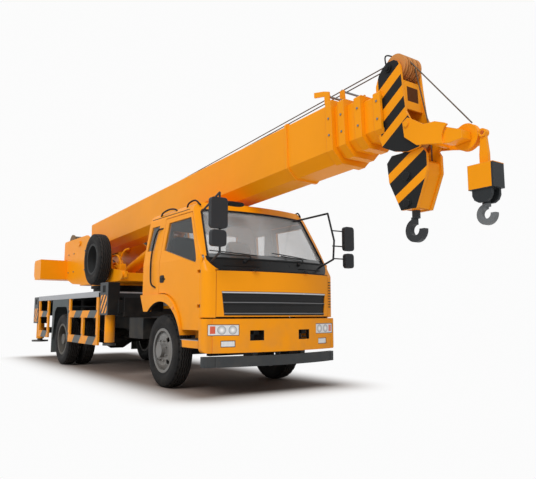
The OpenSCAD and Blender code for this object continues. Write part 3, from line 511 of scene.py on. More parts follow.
@dataclass(frozen=True)
class Lens:
    """Lamp lenses: clear and fluted with painted highlights along the flutes, bright bowls behind that are
    painted reflections, a small turn lamp and a dark frame.
    """

    bowl: float = 0.055
    middle: float = 0.82
    inner: float = 0.63
    outer: float = 1.03

    def material(self, name: str) -> bpy.types.Material:
        """Builds the lenses and returns their material."""
        shader = Shader(name)
        _x, y, z = shader.axes()
        side = abs(y)
        upper = z > 0.74
        flute = abs((side * 62.0).fraction() - 0.5) * 2.0
        # Painted highlights: the clear lens is lighter and darker in stripes along its flutes
        color = shader.mix(flute, Tone(196, 200, 203).linear(), Tone(240, 242, 243).linear())
        # Painted reflections: each chrome bowl is bright in the middle, dimmer towards its edge, with a
        # grey ring there
        for centre in (0.715, 0.855):
            away = ((side - centre).square() + (z - self.middle).square()).root()
            ring = away.between(self.bowl * 0.88, self.bowl)
            bright, dim = Tone(252, 252, 250).linear(), Tone(176, 180, 184).linear()
            bowl = shader.mix(away.ramp(0.0, self.bowl * 0.9), bright, dim)
            color = shader.mix((away < self.bowl) * upper, color, bowl)
            color = shader.mix(ring * upper * 0.55, color, Tone(120, 123, 126).linear())
        turn = side.between(0.935, 1.0) * z.between(0.775, 0.868)
        color = shader.mix(turn, color, Tone(214, 74, 22).linear())
        rim = abs(z - self.middle).ramp(0.060, 0.064) | side.ramp(self.outer - 0.010, self.outer - 0.006)
        rim = rim | (self.inner - side).ramp(-0.010, -0.006)
        color = shader.mix(rim * upper, color, IRON.linear())
        fog = abs(z - 0.6485).ramp(0.030, 0.034) | (abs(side - 0.775) > 0.085)
        color = shader.mix(fog * (z < 0.74), color, IRON.linear())
        normal = shader.bump(flute, 0.002, 0.35)
        return shader.close({"Base Color": color, "Roughness": flute * 0.05 + 0.06, "Coat Weight": 0.8,
                             "Normal": normal})


def path_through(points: Sequence[Sequence[float]], steps: int = 12) -> np.ndarray:
    """Smooth line through points: each span is the cubic whose slopes are half the chord of its neighbours.

    Args:
        points: Points to pass through.
        steps: Points made in each span.
    Returns:
        An array of points.
    """
    knots = np.asarray(points, float)
    padded = np.vstack([2 * knots[:1] - knots[1:2], knots, 2 * knots[-1:] - knots[-2:-1]])
    t = np.linspace(0.0, 1.0, steps, endpoint=False)[None, :, None]
    p0, p1, p2, p3 = (padded[i:len(knots) - 1 + i, None, :] for i in range(4))
    line = 0.5 * (2 * p1 + (p2 - p0) * t + (2 * p0 - 5 * p1 + 4 * p2 - p3) * t**2
                  + (3 * p1 - 3 * p2 + p3 - p0) * t**3)
    return np.vstack([line.reshape(-1, 3), knots[-1:]])


def boom_point(along: Any, up: Any, across: Any = 0.0) -> np.ndarray:
    """Places of points given along and up from the boom's foot pin, turned by the boom's tilt.

    Args:
        along: Distances along the boom.
        up: Distances above its foot pin, square to the boom.
        across: Distances across the crane.
    Returns:
        Points in the shared frame.
    """
    along, up, across = np.broadcast_arrays(*(np.asarray(part, float) for part in (along, up, across)))
    run = along * math.cos(BOOM_TILT) - up * math.sin(BOOM_TILT)
    rise = along * math.sin(BOOM_TILT) + up * math.cos(BOOM_TILT)
    return BOOM_FOOT + np.stack([run, across, rise], axis=-1)


def unit(vectors: np.ndarray) -> np.ndarray:
    """Vectors scaled to length one along the last axis."""
    return vectors / np.maximum(np.linalg.norm(vectors, axis=-1, keepdims=True), 1e-9)


@dataclass
class Solid:
    """Points, faces and UVs of one piece, gathered from several surfaces."""

    points: list[np.ndarray] = field(default_factory=list)
    faces: list[np.ndarray] = field(default_factory=list)
    uvs: list[np.ndarray] = field(default_factory=list)
    count: int = 0

    def add(self, points: np.ndarray, faces: Sequence[np.ndarray], uv: np.ndarray | None = None) -> None:
        """Adds points and the faces that use them, counted from the first of these points."""
        self.points.append(points)
        self.faces.extend(face + self.count for face in faces if len(face))
        self.uvs.append(np.zeros((len(points), 2)) if uv is None else uv)
        self.count += len(points)

    def grid(self, surface: np.ndarray, wrap_rows: bool = False, wrap_columns: bool = False,
             cap: bool = False) -> None:
        """Adds a surface given as rows and columns of points, with quads between neighbours.

        Args:
            surface: Points as rows, columns and three coordinates.
            wrap_rows: Whether the last row joins the first.
            wrap_columns: Whether the last column joins the first.
            cap: Whether the first and last rows are closed by one face each.
        """
        rows, columns = surface.shape[:2]
        r = np.arange(rows if wrap_rows else rows - 1)[:, None]
        c = np.arange(columns if wrap_columns else columns - 1)[None, :]
        nr, nc = (r + 1) % rows, (c + 1) % columns
        corners = (r * columns + c, r * columns + nc, nr * columns + nc, nr * columns + c)
        faces = [np.stack(np.broadcast_arrays(*corners), axis=-1).reshape(-1, 4)]
        if cap:
            faces.append(np.arange(columns)[None, ::-1])
            faces.append((rows - 1) * columns + np.arange(columns)[None, :])
        lengths = np.linalg.norm(np.diff(surface[:, 0], axis=0), axis=-1)
        run = np.concatenate([[0.0], np.cumsum(lengths)])
        uv = np.stack(np.broadcast_arrays(run[:, None], np.linspace(0, 1, columns)[None, :]), axis=-1)
        self.add(surface.reshape(-1, 3), faces, uv.reshape(-1, 2))

    def tube(self, path: np.ndarray, radius: float, sides: int = 10, ring: bool = False,
             flat: float = 1.0) -> None:
        """Adds a round bar: a circle carried along a line, square to it.

        Args:
            path: Points of the line.
            radius: The circle's radius.
            sides: Corners of the circle.
            ring: Whether the line is closed.
            flat: Height of the circle over its width.
        """
        slope = np.roll(path, -1, 0) - np.roll(path, 1, 0) if ring else np.gradient(path, axis=0)
        ahead = unit(slope)
        guide = np.eye(3)[int(np.argmin(np.abs(ahead).mean(0)))]
        right = unit(np.cross(ahead, guide))
        up = np.cross(right, ahead)
        turn = np.linspace(0, 2 * np.pi, sides, endpoint=False)[None, :, None]
        circle = np.cos(turn) * right[:, None] + flat * np.sin(turn) * up[:, None]
        self.grid(path[:, None] + radius * circle, wrap_rows=ring, wrap_columns=True, cap=not ring)

    def turned(self, profile: Sequence[Sequence[float]], centre: Sequence[float], axis: Sequence[float],
               segments: int = 32, closed: bool = False) -> None:
        """Adds a turned form: a profile of radius and height, carried round an axis.

        Args:
            profile: Pairs of radius and height.
            centre: Where height is zero.
            axis: Direction of height.
            segments: Steps in a full turn.
            closed: Whether the profile's end joins its start.
        """
        shape = np.asarray(profile, float)
        up = unit(np.asarray(axis, float))
        guide = np.eye(3)[int(np.argmin(np.abs(up)))]
        right = unit(np.cross(up, guide))
        other = np.cross(up, right)
        turn = np.linspace(0, 2 * np.pi, segments, endpoint=False)[None, :, None]
        out = np.cos(turn) * right + np.sin(turn) * other
        surface = np.asarray(centre, float) + shape[:, None, :1] * out + shape[:, None, 1:] * up
        self.grid(surface, wrap_rows=closed, wrap_columns=True, cap=not closed)

    def pillow(self, centre: Sequence[float], half: Sequence[float], square: float = 0.25,
               rows: int = 20, columns: int = 40) -> None:
        """Adds a rounded block: an ellipsoid whose sines and cosines are raised to a small power.

        Args:
            centre: Middle of the block.
            half: Half its size along each axis.
            square: The power; near 0 is a box and 1 is an ellipsoid.
            rows: Steps from pole to pole.
            columns: Steps round it.
        """
        rise = np.linspace(-np.pi / 2 + 0.01, np.pi / 2 - 0.01, rows)[:, None]
        turn = np.linspace(-np.pi, np.pi, columns, endpoint=False)[None, :]
        waves = (np.cos(rise), np.sin(rise), np.cos(turn), np.sin(turn))
        near, high, ahead, aside = (np.sign(wave) * np.abs(wave) ** square for wave in waves)
        shape = np.stack(np.broadcast_arrays(near * ahead, near * aside, high), -1)
        self.grid(np.asarray(centre, float) + shape * np.asarray(half, float), wrap_columns=True, cap=True)

    def plate(self, low: np.ndarray, high: np.ndarray) -> None:
        """Adds a plate: an outline carried from one face to the other, closed at both."""
        self.grid(np.stack([low, high]), wrap_columns=True, cap=True)

    def studs(self, places: np.ndarray, axis: Sequence[float], radius: float, height: float) -> None:
        """Adds six-sided bolt heads at places, all pointing along axis."""
        for place in places:
            self.turned([[radius, -0.002], [radius, height * 0.8], [radius * 0.75, height]], place, axis, 6)

    def piece(self, name: str, body: str, slot: str, material: bpy.types.Material, sharp: float = 40.0,
              ride: bool = True) -> bpy.types.Object:
        """Makes the Blender object.

        Args:
            name: Name of the piece.
            body: Body that it rides on.
            slot: Slot of the record that its finish comes from; not used.
            material: Its material.
            sharp: Edges steeper than this, in degrees, stay sharp.
            ride: Whether it rides on the body at once.
        Returns:
            The object.
        """
        points = np.vstack(self.points)
        sizes = np.concatenate([np.full(len(face), face.shape[1]) for face in self.faces])
        corners = np.concatenate([face.ravel() for face in self.faces])
        uv = np.vstack(self.uvs)
        mesh = bpy.data.meshes.new(name)
        mesh.vertices.add(len(points))
        mesh.vertices.foreach_set("co", points.astype(np.float32).ravel())
        mesh.loops.add(len(corners))
        mesh.loops.foreach_set("vertex_index", corners.astype(np.int32))
        mesh.polygons.add(len(sizes))
        starts = np.concatenate([[0], np.cumsum(sizes)[:-1]])
        mesh.polygons.foreach_set("loop_start", starts.astype(np.int32))
        mesh.polygons.foreach_set("use_smooth", np.ones(len(sizes), bool))
        mesh.uv_layers.new(name="UVMap")
        mesh.update(calc_edges=True)
        mesh.validate()
        mesh.uv_layers[0].data.foreach_set("uv", uv[corners].astype(np.float32).ravel())
        outward = bmesh.new()
        outward.from_mesh(mesh)
        bmesh.ops.recalc_face_normals(outward, faces=outward.faces[:])
        outward.to_mesh(mesh)
        outward.free()
        mesh.set_sharp_from_angle(angle=math.radians(sharp))
        mesh.materials.append(material)
        made = bpy.data.objects.new(name, mesh)
        bpy.context.scene.collection.objects.link(made)
        if ride:
            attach(made, body)
        LOG.info("%s: %d faces on %s", name, len(sizes), body)
        return made


def stripes(period: float, share: float, rise: float, shift: float = 0.0) -> Mask:
    """Diagonal bands that climb towards the front.

    Args:
        period: Distance from band to band, measured up.
        share: Part of the period that is painted.
        rise: Climb over run.
        shift: Moves the bands up.
    Returns:
        The mask of the bands.
    """
    return lambda x, _y, z: ((z - x * rise - shift + BAND_LIFT) / period).fraction() < share


@dataclass
class Wardrobe:
    """All finishes, and which CAD node wears which."""

    nodes: dict[str, bpy.types.Object]
    made: dict[str, bpy.types.Material] = field(default_factory=dict)

    def wear(self, finish: Any, name: str, *nodes: str) -> None:
        """Builds a finish once, keeps it by name and puts it on the nodes.

        Args:
            finish: The finish to build.
            name: Name of its material.
            nodes: CAD nodes that wear it.
        """
        material = finish.material(name)
        self.made[name] = material
        for node in nodes:
            slots = self.nodes[node].data.materials
            slots.clear()
            slots.append(material)
        LOG.info("%s on %s", name, ", ".join(nodes) or "pieces")

    def cab(self) -> None:
        """Dresses the driver's cab, its doors, front, lamps and glass."""
        lining = Layer(LINING, lambda x, y, z: (abs(y) + (z - 1.75).above(0.0) * 0.1534 < 1.034)
                       * (x > 0.482) * z.between(1.14, 2.508)
                       * (x + y.square() * 0.156 + (z - 1.58).above(0.0) * 0.625 < 2.508), 0.8)
        cowl = Layer(IRON, lambda x, y, z: z.between((abs(y) - 0.83).above(0.0).square() * 5.0 + 1.566,
                                                     1.765) * (abs(y) < 1.0) * (x > 2.16), 0.3)
        door_lining = Layer(LINING, lambda _x, y, z: abs(y) + (z - 1.75).above(0.0) * 0.16 < 1.034, 0.8)
        self.wear(Paint(ORANGE, layers=(lining, cowl)), "cab_paint", "cab_shell")
        self.wear(Paint(ORANGE, layers=(door_lining,)), "door_paint", "door_right", "door_left")

        liner = Layer(IRON, lambda x, y, z: (((x - AXLE_X).square() + (z - WHEEL_RADIUS).square()).root()
                                             < 0.688)
                      | (z < 1.054) * (x < 1.0) | (abs(y) < 1.04) * (x < 1.75), 0.8)
        tread = Layer(DECK_GREY, lambda x, _y, z: z.between(0.684, 0.70) * (x > 1.72), 0.5)
        hinges = Layer(IRON, lambda _x, _y, z: z > 1.5665, 0.4)
        pocket = Layer(BLACK, lambda x, y, z: abs(y).between(0.2845, 0.4855) * z.between(0.6845, 0.8125)
                       | (x < 2.30) * (abs(y) < 0.45), 0.8)
        self.wear(Paint(ORANGE, dust=0.3, layers=(liner, tread)), "fender_paint", "fenders")
        self.wear(Paint(ORANGE, layers=(hinges,)), "front_paint", "front_panel")
        self.wear(Paint(ORANGE, layers=(pocket,)), "lamp_panel_paint", "headlamp_panel")

        net = Layer(BLACK, lambda _x, y, z: (((y + z) * 26.0).fraction() > 0.3)
                    * (((y - z) * 26.0).fraction() > 0.3) * z.between(1.035, 1.275), 0.8)
        strip = Layer(CHROME, lambda _x, _y, z: z > 1.284, 0.25, 0.6)
        lines = Layer(Tone(132, 134, 136), lambda _x, _y, z: z.between(1.163, 1.1715)
                      | z.between(1.025, 1.0335), 0.35, 0.4)
        self.wear(Paint(Tone(52, 53, 54), rough=0.42, dust=0.05, peel=0.15, layers=(net, strip, lines)),
                  "grille_plastic", "grille")
        self.wear(Paint(Tone(60, 63, 65), rough=0.5, coat=0.0, peel=0.3, dust=0.1),
                  "bumper_paint", "bumpers")
        self.wear(Paint(Tone(52, 54, 57), rough=0.48, coat=0.0, peel=0.35, dust=0.0, soft=0.02),
                  "mirror_plastic", "mirrors")
        self.wear(Lens(), "lamp_lens", "lamps")
        # The third tone is the windscreen's pale painted reflection
        self.wear(Pane(Tone(96, 106, 106), 0.26, Tone(222, 226, 228)), "cab_pane", "cab_glass")
        self.wear(Pane(), "door_pane", "door_right_glass", "door_left_glass")
        self.wear(Pane(Tone(60, 66, 70), 0.5), "operator_pane", "operator_glass")

    def carrier(self) -> None:
        """Dresses frame, axles, deck, guards, outriggers and wheels."""
        self.wear(Paint(IRON, rough=0.55, coat=0.0, dust=0.25, peel=0.2), "frame_paint", "chassis_frame",
                  "axles", "leaf_springs", "drive_train", "knuckle_right", "knuckle_left", "subframe",
                  "outrigger_housings", "tanks")
        self.wear(Paint(GUARD_GREY, rough=0.5, coat=0.0, dust=0.35), "mudguard_paint", "mudguards")

        # Tear plate: short bars that lean one way and the other in turn
        bars = Layer(Tone(205, 206, 208), lambda x, y, z: (z > 1.405)
                     * (((x + y) * 22.0).fraction().between(0.36, 0.64)
                        * ((x - y) * 11.0).fraction().between(0.1, 0.42)
                        | ((x - y) * 22.0).fraction().between(0.36, 0.64)
                        * ((x + y) * 11.0).fraction().between(0.6, 0.92)), 0.3, 0.5)
        apron = Layer(CHARCOAL, lambda x, _y, z: (z < 1.385) * ((x > -1.158) | (z < 1.30)), 0.6)
        self.wear(Paint(DECK_GREY, rough=0.45, coat=0.0, metal=0.2, dust=0.2, layers=(bars, apron)),
                  "deck_plate", "deck")

        middle, lower = stripes(0.74, 0.5, 0.92, 0.02), stripes(0.74, 0.5, 0.92, 0.34)
        bands = Layer(GUARD_GREY, lambda x, y, z: z.between(0.945, 1.085) * middle(x, y, z)
                      | (z < 0.655) * lower(x, y, z), 0.4)
        self.wear(Paint(ORANGE, dust=0.35, layers=(bands,)), "guard_paint", "side_guards")
        for end, along, foot, top in (("front", -0.895, 1.0, 1.55), ("rear", -5.455, 0.8, 1.4)):
            self.wear(Paint(Tone(58, 62, 65), rough=0.45, coat=0.1, dust=0.3,
                            layers=self.leg_layers(along, foot, top)), f"leg_paint_{end}",
                      f"beam_{end}_right", f"beam_{end}_left")
        self.wear(Paint(Tone(70, 72, 74), rough=0.4, metal=0.6, coat=0.0, dust=0.3), "jack_steel",
                  "jack_front_right", "jack_front_left", "jack_rear_right", "jack_rear_left")
        self.wear(Paint(RIM_GREY, rough=0.42, metal=0.35, coat=0.1, dust=0.25, worn=0.4), "rim_paint",
                  "rim_front_right", "rim_front_left")
        # The rear rims wear a darker copy of the rim grey as painted shade
        self.wear(Paint(REAR_RIM_SHADED_GREY, rough=0.5, metal=0.3, coat=0.0, dust=0.3, worn=0.3),
                  "rear_rim_paint", "rims_rear_right", "rims_rear_left")

    @staticmethod
    def leg_layers(along: float, foot: float, top: float, face: float = 1.195) -> tuple[Layer, ...]:
        """Colours of a leg: an orange tube below its sleeve, a striped panel and a dark slot above it.

        Args:
            along: The leg's place along the crane.
            foot: Foot of the sleeve.
            top: Top of the sleeve.
            face: Distance of the sleeve's outer face from the crane's middle.
        Returns:
            The layers.
        """
        bands = stripes(0.17, 0.5, 1.25, 0.03)

        def panel(x: Socket, y: Socket, z: Socket) -> Socket:
            """Mask of the panel on the sleeve's outer face."""
            return (abs(y) > face) * (abs(x - along) < 0.145) * z.between(foot + 0.03, foot + 0.34)

        return (Layer(IRON, lambda _x, y, z: (z > foot - 0.001) * (abs(y) < face - 0.003), 0.6),
                Layer(ORANGE, lambda _x, _y, z: z < foot - 0.001, 0.33),
                Layer(IRON, panel, 0.4),
                Layer(ORANGE, lambda x, y, z: panel(x, y, z) * bands(x, y, z), 0.35),
                Layer(Tone(10, 10, 10), lambda x, y, z: (abs(y) > face) * (abs(x - along) < 0.075)
                      * z.between(top - 0.17, top - 0.05), 0.8))

    def upper(self) -> None:
        """Dresses the turntable, operator's cab, boom, luff cylinder and hooks."""
        self.wear(Paint(ORANGE), "turntable_paint", "turntable", "counterweight", "boom_base",
                  "boom_section_2", "boom_section_3", "aux_jib", "luff_barrel", "operator_door")
        lining = Layer(LINING, lambda x, y, z: y.between(0.676, 1.156) * x.between(-3.849, -2.341)
                       * z.between(1.676, 3.004), 0.8)
        self.wear(Paint(ORANGE, layers=(lining,)), "operator_paint", "operator_cab")

        bands = stripes(0.265, 0.5, 0.7, 0.225)
        head = Layer(IRON, lambda x, y, z: (bands(x, y, z) | (z - x * 0.7 < -0.41) | (z - x * 0.7 > 0.25))
                     * abs(y).between(0.1685, 0.1715) * (x + z * 0.0436 > 4.672), 0.4)
        # Painted shade: an opening in the head's front is shown as its orange inside in shade
        shaded_opening = Layer(Tone(84, 44, 12), lambda x, y, z: (x > 4.82) * (abs(y) < 0.085)
                       * z.between(3.22, 3.38), 0.7)
        self.wear(Paint(ORANGE, layers=(head, shaded_opening)), "boom_head_paint", "boom_section_4")

        bright = (-0.30, -0.19), (-0.59, -0.485)
        cheeks = Layer(IRON, lambda x, y, z: (abs(y) > 0.127) * (1.0 - (z - x * 0.58).between(*bright[0]))
                       * (1.0 - (z - x * 0.58).between(*bright[1])), 0.4)
        main_hook = Layer(Tone(58, 60, 62), lambda _x, _y, z: z < 2.07, 0.45, 0.3)
        self.wear(Paint(ORANGE, layers=(cheeks, main_hook)), "hook_block_paint", "hook_block")
        weight = Layer(Tone(45, 48, 50), lambda x, _y, z: (z < 2.149) | (x > 5.757) * (z < 2.37), 0.45)
        aux_hook = Layer(Tone(112, 115, 117), lambda _x, _y, z: z < 2.012, 0.45, 0.3)
        self.wear(Paint(ORANGE, layers=(weight, aux_hook)), "aux_hook_paint", "aux_hook")
        self.wear(Paint(Tone(204, 140, 78), rough=0.5, metal=0.1, coat=0.0), "sheave_steel", "head_sheaves")
        self.wear(Paint(Tone(120, 96, 66), rough=0.5, metal=0.3, coat=0.0), "drum_steel", "winch")
        self.wear(Paint(Tone(206, 208, 210), rough=0.12, metal=0.95, coat=0.0, dust=0.0, peel=0.0),
                  "rod_chrome", "luff_rod")

    def spare(self) -> None:
        """Builds finishes that only pieces of the scene wear."""
        axles = {"front": (AXLE_X, WHEEL_RADIUS), "rear": (REAR_AXLE_X, WHEEL_RADIUS),
                 "spare": (SPARE_WHEEL[0], SPARE_WHEEL[2])}
        for name, axle in axles.items():
            self.wear(Rubber(axle), f"tyre_rubber_{name}")
        self.wear(Strand(), "wire_rope")
        self.wear(Weave(), "seat_cloth")
        finishes = {
            "trim_plastic": Paint(Tone(30, 31, 32), rough=0.5, coat=0.0, dust=0.05, peel=0.3, soft=0.003),
            "hose_rubber": Paint(Tone(22, 22, 23), rough=0.6, coat=0.0, dust=0.1, peel=0.2, soft=0.002),
            "bolt_steel": Paint(Tone(128, 130, 132), rough=0.38, metal=0.8, coat=0.0, soft=0.002),
            "spare_rim_paint": Paint(Tone(50, 51, 51), rough=0.6, coat=0.0, dust=0.0),
            "pipe_paint": Paint(ORANGE, rough=0.45, soft=0.003),
            "mirror_face": Paint(CHROME, rough=0.12, metal=0.95, coat=0.0, dust=0.0, soft=0.002),
            "amber_lens": Paint(AMBER, rough=0.2, coat=0.6, dust=0.0, soft=0.003),
            "red_lens": Paint(RED, rough=0.2, coat=0.6, dust=0.0, soft=0.003),
        }
        for name, finish in finishes.items():
            self.wear(finish, name)


@dataclass
class Tyres:
    """Road tyres with zig-zag grooves, a ribbed shoulder and plain sidewalls."""

    wardrobe: Wardrobe
    radius: float = WHEEL_RADIUS
    half_width: float = 0.127
    bead: float = 0.2863
    tread_half: float = 0.100
    groove: float = 0.014
    groove_width: float = 0.0072
    zigzag: float = 0.009
    waves: int = 30
    around: int = 300

    def section(self) -> np.ndarray:
        """Half the section from bead to crown as radius and width, mirrored into a whole one."""
        half = np.array([[self.bead, 0.094], [self.bead + 0.016, 0.1045], [self.bead + 0.05, 0.1145],
                         [self.bead + 0.105, self.half_width], [self.radius - 0.062, 0.1225],
                         [self.radius - 0.026, 0.1105], [self.radius - 0.009, self.tread_half]])
        smooth = path_through(np.column_stack([half, np.zeros(len(half))]), 4)[:, :2]
        rib = 0.0016 * np.sin((smooth[:, 0] - self.bead) * 210.0) * (smooth[:, 0] < self.radius - 0.05)
        smooth[:, 1] += rib
        width = np.linspace(self.tread_half, -self.tread_half, 58)[1:-1]
        crown = self.radius - 0.009 * np.abs(width / self.tread_half) ** 3
        tread = np.column_stack([crown, width])
        other = smooth[::-1] * np.array([1.0, -1.0])
        return np.vstack([smooth, tread, other])

    def surface(self, centre: Sequence[float]) -> np.ndarray:
        """Section carried round the axle, with grooves that swing sideways as a triangle wave.

        Args:
            centre: Middle of the tyre.
        Returns:
            Points as rows round the axle and columns across the section.
        """
        section = self.section()
        turn = np.linspace(0, 2 * np.pi, self.around, endpoint=False)[:, None]
        radius, width = section[None, :, 0], section[None, :, 1]
        swing = self.zigzag * (2 / np.pi) * np.arcsin(np.sin(self.waves * turn))
        lines = np.array([-0.052, -0.0175, 0.0175, 0.052])[:, None, None]
        away = np.abs(width - lines - swing).min(0)
        cut = np.clip((self.groove_width - away) / 0.0022 + 0.5, 0.0, 1.0)
        notch = np.clip((np.cos(self.waves * turn) - 0.55) * 3.0, 0, 1) * np.clip(
            (np.abs(width) - 0.078) / 0.006, 0, 1) * (radius > self.radius - 0.03)
        depth = self.groove * np.maximum(cut, 0.7 * notch) * (np.abs(width) < self.tread_half + 0.006)
        r = radius - depth * (radius > self.radius - 0.032)
        x, y, z = centre
        return np.stack([x + r * np.cos(turn), y + width + 0 * r, z + r * np.sin(turn)], axis=-1)

    def build(self, axle: "Axles") -> None:
        """Makes the pieces that stand for the tyre nodes."""
        for side in Side:
            sign, word = side.value, side.word
            front = Solid()
            front.grid(self.surface((axle.front_x, sign * axle.front_y, axle.height)), True, True)
            self.finish(front, "front", f"road_tyre_front_{word}", f"wheel_front_{word}",
                        f"tyre_front_{word}")
            rear = Solid()
            for place in (axle.rear_outer, axle.rear_inner):
                rear.grid(self.surface((axle.rear_x, sign * place, axle.height)), True, True)
            self.finish(rear, "rear", f"road_tyres_rear_{word}", f"wheels_rear_{word}",
                        f"tyres_rear_{word}")

    def finish(self, solid: Solid, place: str, name: str, body: str, node: str) -> None:
        """Makes one piece, which stands for its node."""
        made = solid.piece(name, body, "rubber", self.wardrobe.made[f"tyre_rubber_{place}"], 34.0)
        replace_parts(made, node)


@dataclass
class Axles:
    """Places of the road wheels and of the spare."""

    front_x: float = AXLE_X
    rear_x: float = REAR_AXLE_X
    height: float = WHEEL_RADIUS
    front_y: float = 0.927
    rear_outer: float = 1.049
    rear_inner: float = 0.739
    spare: tuple[float, float, float] = SPARE_WHEEL

    def build_spare(self, tyres: Tyres, wardrobe: Wardrobe) -> None:
        """Makes the spare wheel: a tyre and a deep-dished rim."""
        tyre = Solid()
        tyre.grid(tyres.surface(self.spare), True, True)
        tyres.finish(tyre, "spare", "spare_tyre", "turntable", "spare_wheel")
        rim = Solid()
        disc = [[0.041, 0.02], [0.110, 0.02], [0.115, 0.092], [0.200, 0.092], [0.272, 0.052],
                [0.272, -0.112], [0.310, -0.112], [0.310, -0.104], [0.286, -0.100], [0.286, 0.100],
                [0.310, 0.104], [0.310, 0.112], [0.272, 0.112], [0.272, 0.074], [0.206, 0.110],
                [0.041, 0.110]]
        rim.turned(disc, self.spare, (0.0, 1.0, 0.0), 72, True)
        rim_piece = rim.piece("spare_rim", "turntable", "steel", wardrobe.made["spare_rim_paint"], 30.0)
        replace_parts(rim_piece, "spare_wheel")


@dataclass
class Ropes:
    """Wire ropes: on the drum, along the boom, at the head and down to the hook block."""

    radius: float = 0.007
    drum: tuple[float, float, float] = (-5.165, 0.0, 2.66)
    drum_radius: float = 0.181
    drum_half: float = 0.486
    wound: float = 0.212
    turns: int = 60
    upper: tuple[float, float] = (9.05, 0.625)
    lower: tuple[float, float] = (9.124, -0.152)
    jib: tuple[float, float] = (9.756, -0.35)
    upper_wrap: float = 0.119
    lower_wrap: float = 0.139
    block_wrap: float = 0.179
    drop: float = 0.436
    inner: float = 0.035
    outer: float = 0.105
    block_side: float = 0.052
    roller: tuple[float, float] = (-0.1, 0.515)
    guide: tuple[float, float] = (8.165, 0.700)
    collar_top: float = 0.505
    eye: float = 0.064
    rear_fall: tuple[float, float] = (-0.054, -0.05)
    cheek: float = 0.0945
    cover: float = 0.006

    def build(self, wardrobe: Wardrobe) -> None:
        """Makes all ropes."""
        rope = wardrobe.made["wire_rope"]
        self.on_drum(rope)
        self.on_boom(rope)
        self.rollers(wardrobe)
        self.at_head(rope)
        self.guard(wardrobe.made["trim_plastic"])
        self.to_block(rope)
        self.block_covers(wardrobe.made["pipe_paint"])

    def on_drum(self, rope: bpy.types.Material) -> None:
        """Rope wound on the drum: a turned form whose profile is a row of half circles."""
        steps = self.turns * 5
        across = np.linspace(-self.drum_half, self.drum_half, steps + 1)
        wave = np.abs(np.sin(np.linspace(0, self.turns * np.pi, steps + 1)))
        hump = self.wound - self.radius + self.radius * wave
        profile = np.column_stack([hump, across])
        start, finish = [self.drum_radius, -self.drum_half], [self.drum_radius, self.drum_half]
        profile = np.vstack([start, profile, finish])
        solid = Solid()
        solid.turned(profile, self.drum, (0.0, 1.0, 0.0), 40)
        solid.piece("drum_rope", "turntable", "steel", rope, 80.0)

    def on_boom(self, rope: bpy.types.Material) -> None:
        """Ropes from the drum to the boom's rear roller, and straight on to the upper sheaves."""
        over = self.roller[1] + 0.02
        tail, run = Solid(), Solid()
        for side in (-self.inner, self.inner):
            start = np.array([self.drum[0] + 0.02, side, self.drum[2] + self.wound + self.radius])
            rear = boom_point(self.roller[0], over, side)
            top = boom_point(self.upper[0], self.upper[1] + self.upper_wrap, side)
            tail.tube(np.linspace(start, rear, 28), self.radius)
            run.tube(np.linspace(rear, top, 80), self.radius)
        piece = tail.piece("rope_drum_to_boom", "turntable", "steel", rope, ride=False)
        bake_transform(piece)
        piece = run.piece("rope_along_boom", "boom_base", "steel", rope, ride=False)
        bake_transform(piece)

    def rollers(self, wardrobe: Wardrobe) -> None:
        """Rear roller, and a guide on the base's front collar: three brackets that carry two rollers."""
        along, up = self.guide
        solid = Solid()
        for start, finish, place in ((-0.11, 0.11, self.roller), (-0.285, -0.07, (along, 0.58)),
                                     (-0.07, 0.285, self.guide)):
            half = (finish - start) / 2
            solid.turned([[0.003, -half], [0.02, -half], [0.02, -half + 0.02], [0.013, -half + 0.03],
                          [0.013, half - 0.03], [0.02, half - 0.02], [0.02, half], [0.003, half]],
                         boom_point(*place, (start + finish) / 2), (0.0, 1.0, 0.0), 20)
        solid.piece("rope_rollers", "boom_base", "steel", wardrobe.made["bolt_steel"])
        frame = Solid()
        foot = self.collar_top
        near = np.array([[-0.055, foot], [0.025, foot], [0.025, 0.63], [-0.065, 0.665], [-0.235, 0.71],
                         [-0.235, 0.645], [-0.055, 0.60]])
        middle = np.array([[-0.035, foot], [0.055, foot], [0.04, up + 0.004], [-0.025, up + 0.004]])
        far = np.array([[-0.055, foot], [0.025, foot], [0.025, up + 0.03], [-0.03, up + 0.03]])
        for outline, low, high in ((near, -0.305, -0.285), (middle, -0.08, -0.06), (far, 0.285, 0.305)):
            frame.plate(*(boom_point(along + outline[:, 0], outline[:, 1], side) for side in (low, high)))
        frame.piece("rope_guide", "boom_base", "orange", wardrobe.made["pipe_paint"], 30.0)

    @staticmethod
    def arc(centre: tuple[float, float], radius: float, first: float, last: float,
            side: float) -> np.ndarray:
        """Points on a sheave's groove.

        Args:
            centre: The sheave's pin, along and up the boom.
            radius: From the pin to the middle of the rope.
            first: Angle of the first point from straight ahead, in degrees.
            last: Angle of the last point.
            side: Place across the crane.
        Returns:
            The points.
        """
        turn = np.radians(np.linspace(first, last, 24))
        return boom_point(centre[0] + radius * np.cos(turn), centre[1] + radius * np.sin(turn), side)

    def at_head(self, rope: bpy.types.Material) -> None:
        """Ropes over the upper sheaves, down the head's front to the lower ones, and out to the fly jib."""
        solid = Solid()
        over = self.arc(self.upper, self.upper_wrap, 90.0, 6.0, self.inner)
        under = self.arc(self.lower, self.lower_wrap, 6.0, -84.0, self.outer)
        solid.tube(np.vstack([over, np.linspace(over[-1], under[0], 12)[1:-1], under]), self.radius)
        solid.tube(self.arc(self.lower, self.lower_wrap, 110.0, -84.0, -self.outer), self.radius)
        over = self.arc(self.upper, self.upper_wrap, 90.0, 42.0, -self.inner)
        finish = boom_point(self.jib[0] + 0.06, self.jib[1] + 0.128)
        solid.tube(np.vstack([over, np.linspace(over[-1], finish, 24)[1:]]), self.radius)
        solid.piece("rope_at_head", "boom_section_4", "steel", rope)

